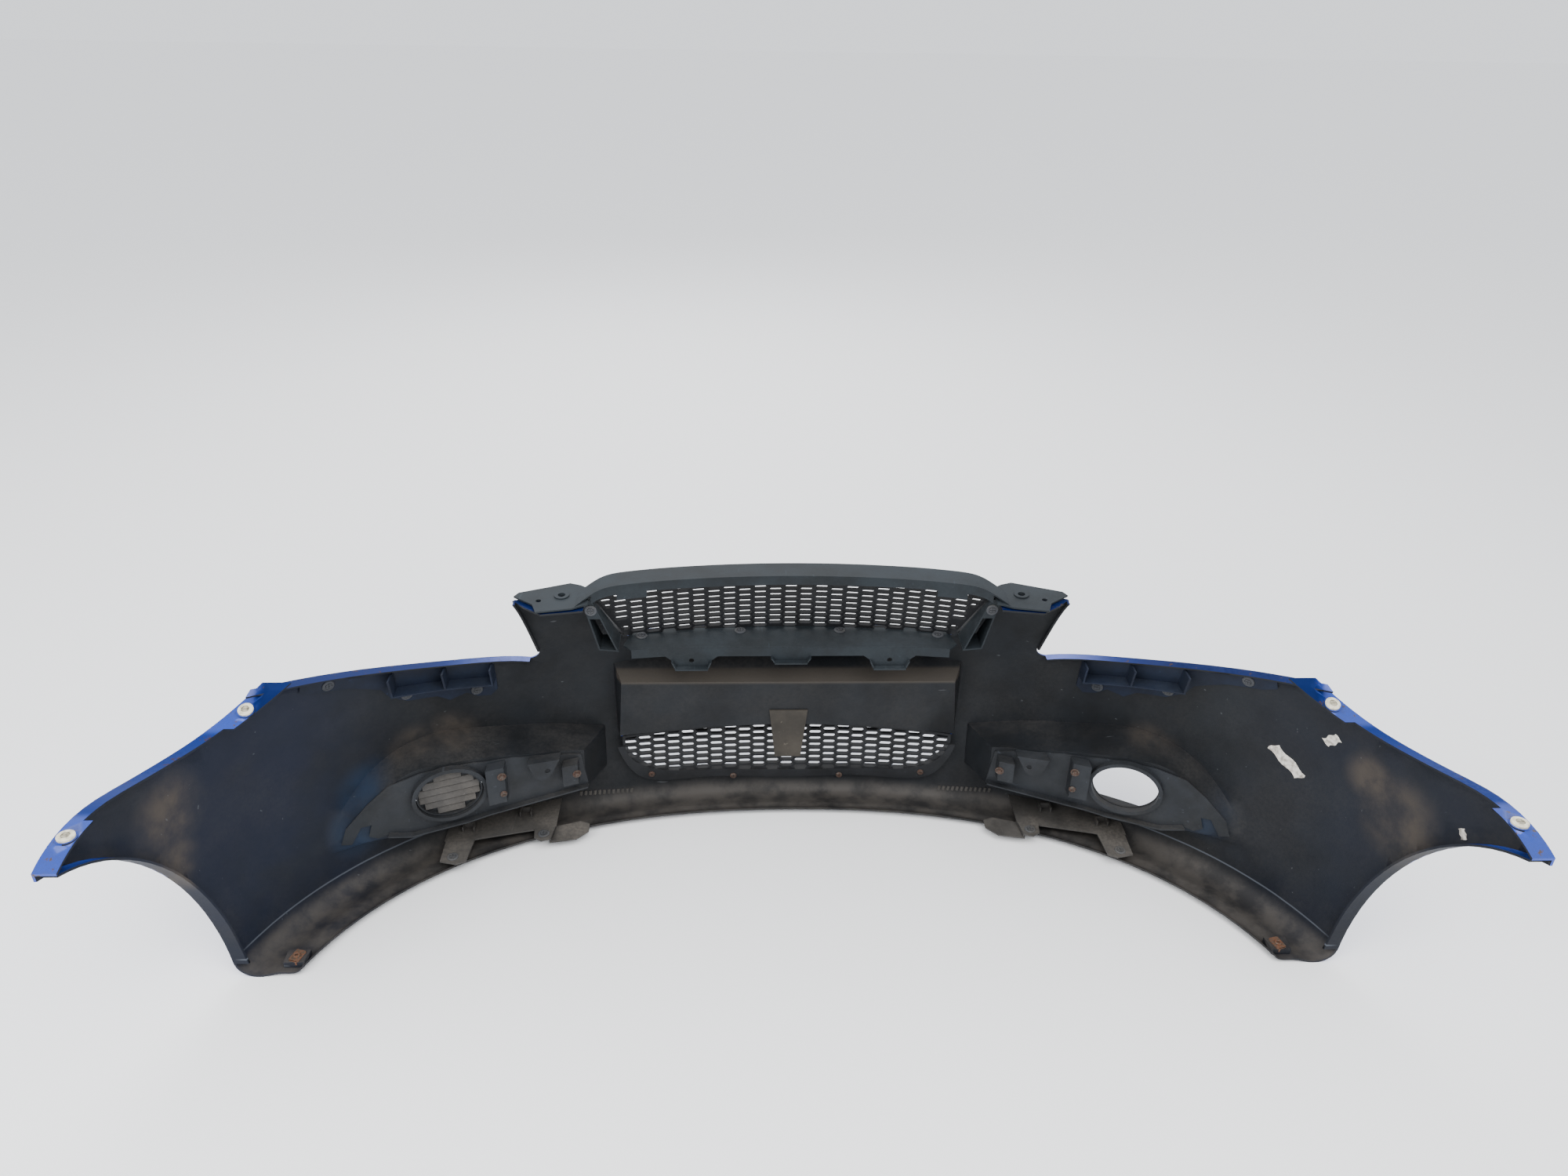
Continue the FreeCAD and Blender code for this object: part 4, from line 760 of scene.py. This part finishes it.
class BUMPER_OT_serrated_strips(bpy.types.Operator):
    """Puts the serrated strips in the crease above the bottom return"""

    bl_idname = "bumper.serrated_strips"
    bl_label = "Serrated strips"

    def execute(self, context):
        settings = context.scene.bumper_trim
        tree = cover_tree()
        first_x = 0.262
        length = 0.083
        height = settings.rib_height / MM
        bm = bmesh.new()
        for side in (1, -1):
            for k in range(settings.rib_count):
                x = first_x + length * k / (settings.rib_count - 1)
                # A line from above and behind meets the crease between the wall and the return.
                point, normal = hit(tree, (side * x, -0.16, 0.075), (0.0, -0.88, -0.42))
                unit = bmesh.new()
                prism(unit, [(-2.7, -3.4), (1.6, -3.4), (2.7, 3.4), (-1.6, 3.4)], -0.8, height * 0.55)
                prism(unit, [(-0.9, -3.8), (0.5, -3.8), (1.5, 3.8), (0.1, 3.8)], -0.8, height)
                turn = normal.to_track_quat("Z", "Y").to_matrix().to_4x4()
                stamp(bm, unit, Matrix.Translation(point) @ turn)
        material = bpy.data.materials["undertray_bracket_plastic_dusty"]
        put_piece(context, "return_serrated_strips", bm, "root", [material])
        return {"FINISHED"}


class BUMPER_OT_tape(bpy.types.Operator):
    """Lays the torn remnants of white tape on the inside of the right wing"""

    bl_idname = "bumper.tape"
    bl_label = "Tape remnants"

    def execute(self, context):
        settings = context.scene.bumper_trim
        tree = cover_tree()
        # Middle, direction along the strip, half length and half width, in the plane of Y and Z.
        strips = [
            ("tape_long", (-0.052, 0.2475), (0.83, -0.56), 0.024, 0.0085),
            ("tape_short", (-0.006, 0.321), (0.6, 0.8), 0.012, 0.006),
            ("tape_chip", (0.195, 0.325), (0.7, -0.7), 0.007, 0.005),
        ]
        material = aged_nylon("tape_paper_torn", "cfcac0", "6f675c", 0.85)
        for name, (y, z), (run_y, run_z), half_length, half_width in strips:
            bm = bmesh.new()
            columns, rows = 10, 4
            lift = 0.0002
            bmesh.ops.create_grid(bm, x_segments=columns, y_segments=rows, size=1.0)
            # A torn edge stays within its own cell of the grid, so the sheet never folds over itself.
            end_cell = 0.8 * half_length / columns
            side_cell = 0.8 * half_width / rows
            for vertex in bm.verts:
                i = round((vertex.co.x + 1) * columns / 2)
                j = round((vertex.co.y + 1) * rows / 2)
                torn = end_cell * math.sin(5.1 * j + 3 * i) * (i in (0, columns))
                ragged = side_cell * math.sin(7.3 * i + 2.1 * j) * (j in (0, rows))
                along = vertex.co.x * half_length + torn
                across = vertex.co.y * half_width + ragged
                at_y = y + run_y * along - run_z * across
                at_z = z + run_z * along + run_y * across
                point, normal = hit(tree, (-0.5, at_y, at_z), (-1.0, 0.0, 0.0))
                vertex.co = point + normal * lift
            bmesh.ops.recalc_face_normals(bm, faces=bm.faces[:])
            bmesh.ops.solidify(bm, geom=bm.faces[:], thickness=settings.tape_thickness)
            put_piece(context, name, bm, "root", [material])
        return {"FINISHED"}


class BUMPER_OT_stage(bpy.types.Operator):
    """Makes the pale floor, the soft studio lights and the camera"""

    bl_idname = "bumper.stage"
    bl_label = "Stage"

    def execute(self, context):
        settings = context.scene.bumper_stage
        scene = context.scene
        bm = bmesh.new()
        bmesh.ops.create_grid(bm, x_segments=1, y_segments=1, size=12.0)
        mesh = bpy.data.meshes.new("floor")
        bm.to_mesh(mesh)
        bm.free()
        material, _, shader, _ = start_material("floor_paper_seamless")
        shader.inputs["Base Color"].default_value = linear("fbfbfb")
        shader.inputs["Roughness"].default_value = 0.9
        mesh.materials.append(material)
        floor = bpy.data.objects.new("floor", mesh)
        scene.collection.objects.link(floor)

        world = bpy.data.worlds.new("studio")
        world.use_nodes = True
        sky = world.node_tree.nodes["Background"]
        sky.inputs["Color"].default_value = linear("eef1f6")
        sky.inputs["Strength"].default_value = settings.sky_strength
        scene.world = world

        lights = [
            ("key_light", (-0.6, 1.6, 2.8), 2.4, 1.0),
            ("fill_light", (1.8, 1.2, 1.9), 1.8, 0.45),
            ("front_light", (0.3, -2.6, 2.2), 2.2, 0.45),
        ]
        for name, place, width, share in lights:
            data = bpy.data.lights.new(name, "AREA")
            data.shape = "DISK"
            data.size = width
            data.energy = settings.key_power * share
            light = bpy.data.objects.new(name, data)
            light.location = place
            aim = Vector((0.0, 0.0, 0.2)) - Vector(place)
            light.rotation_mode = "QUATERNION"
            light.rotation_quaternion = aim.to_track_quat("-Z", "Y")
            scene.collection.objects.link(light)

        camera = bpy.data.cameras.new("camera")
        camera.sensor_width = 36.0
        camera.lens = 27.54
        stand = Vector((0.082, 1.323, 1.331))
        holder = bpy.data.objects.new("camera", camera)
        pitch, yaw, roll = math.radians(29.8), math.radians(-2.55), math.radians(1.18)
        look = Vector((
            math.sin(yaw) * math.cos(pitch), -math.cos(yaw) * math.cos(pitch), -math.sin(pitch),
        ))
        level = look.cross(Vector((0, 0, 1))).normalized()
        upright = level.cross(look)
        right = level * math.cos(roll) + upright * math.sin(roll)
        up = upright * math.cos(roll) - level * math.sin(roll)
        turn = Matrix((right, up, -look)).transposed().to_4x4()
        holder.matrix_world = Matrix.Translation(stand) @ turn
        scene.collection.objects.link(holder)
        scene.camera = holder
        return {"FINISHED"}


OPERATORS = [
    BUMPER_OT_cover, BUMPER_OT_cad_finishes, BUMPER_OT_push_clips, BUMPER_OT_screws,
    BUMPER_OT_louvres, BUMPER_OT_spring_nuts, BUMPER_OT_serrated_strips, BUMPER_OT_tape, BUMPER_OT_stage,
]


class BUMPER_PT_panel(bpy.types.Panel):
    """Lists the pieces of the bumper cover and their settings"""

    bl_idname = "BUMPER_PT_panel"
    bl_label = "Bumper cover"
    bl_space_type = "VIEW_3D"
    bl_region_type = "UI"
    bl_category = "Bumper"

    def draw(self, context):
        for attribute in SETTINGS:
            group = getattr(context.scene, attribute)
            for name in group.bl_rna.properties.keys():
                if name not in ("rna_type", "name"):
                    self.layout.prop(group, name)
        for operator in OPERATORS:
            self.layout.operator(operator.bl_idname)


SETTINGS = {
    "bumper_finish": FinishSettings,
    "bumper_fasteners": FastenerSettings,
    "bumper_trim": TrimSettings,
    "bumper_stage": StageSettings,
}
CLASSES = list(SETTINGS.values()) + OPERATORS + [BUMPER_PT_panel]


def register():
    for made in CLASSES:
        bpy.utils.register_class(made)
    for attribute, group in SETTINGS.items():
        setattr(bpy.types.Scene, attribute, bpy.props.PointerProperty(type=group))


def unregister():
    for attribute in SETTINGS:
        delattr(bpy.types.Scene, attribute)
    for made in reversed(CLASSES):
        bpy.utils.unregister_class(made)


def main():
    register()
    bpy.ops.bumper.cover()
    bpy.ops.bumper.cad_finishes()
    bpy.ops.bumper.push_clips()
    bpy.ops.bumper.screws()
    bpy.ops.bumper.louvres()
    bpy.ops.bumper.spring_nuts()
    bpy.ops.bumper.serrated_strips()
    bpy.ops.bumper.tape()
    bpy.ops.bumper.stage()


if __name__ == "__main__":
    main()
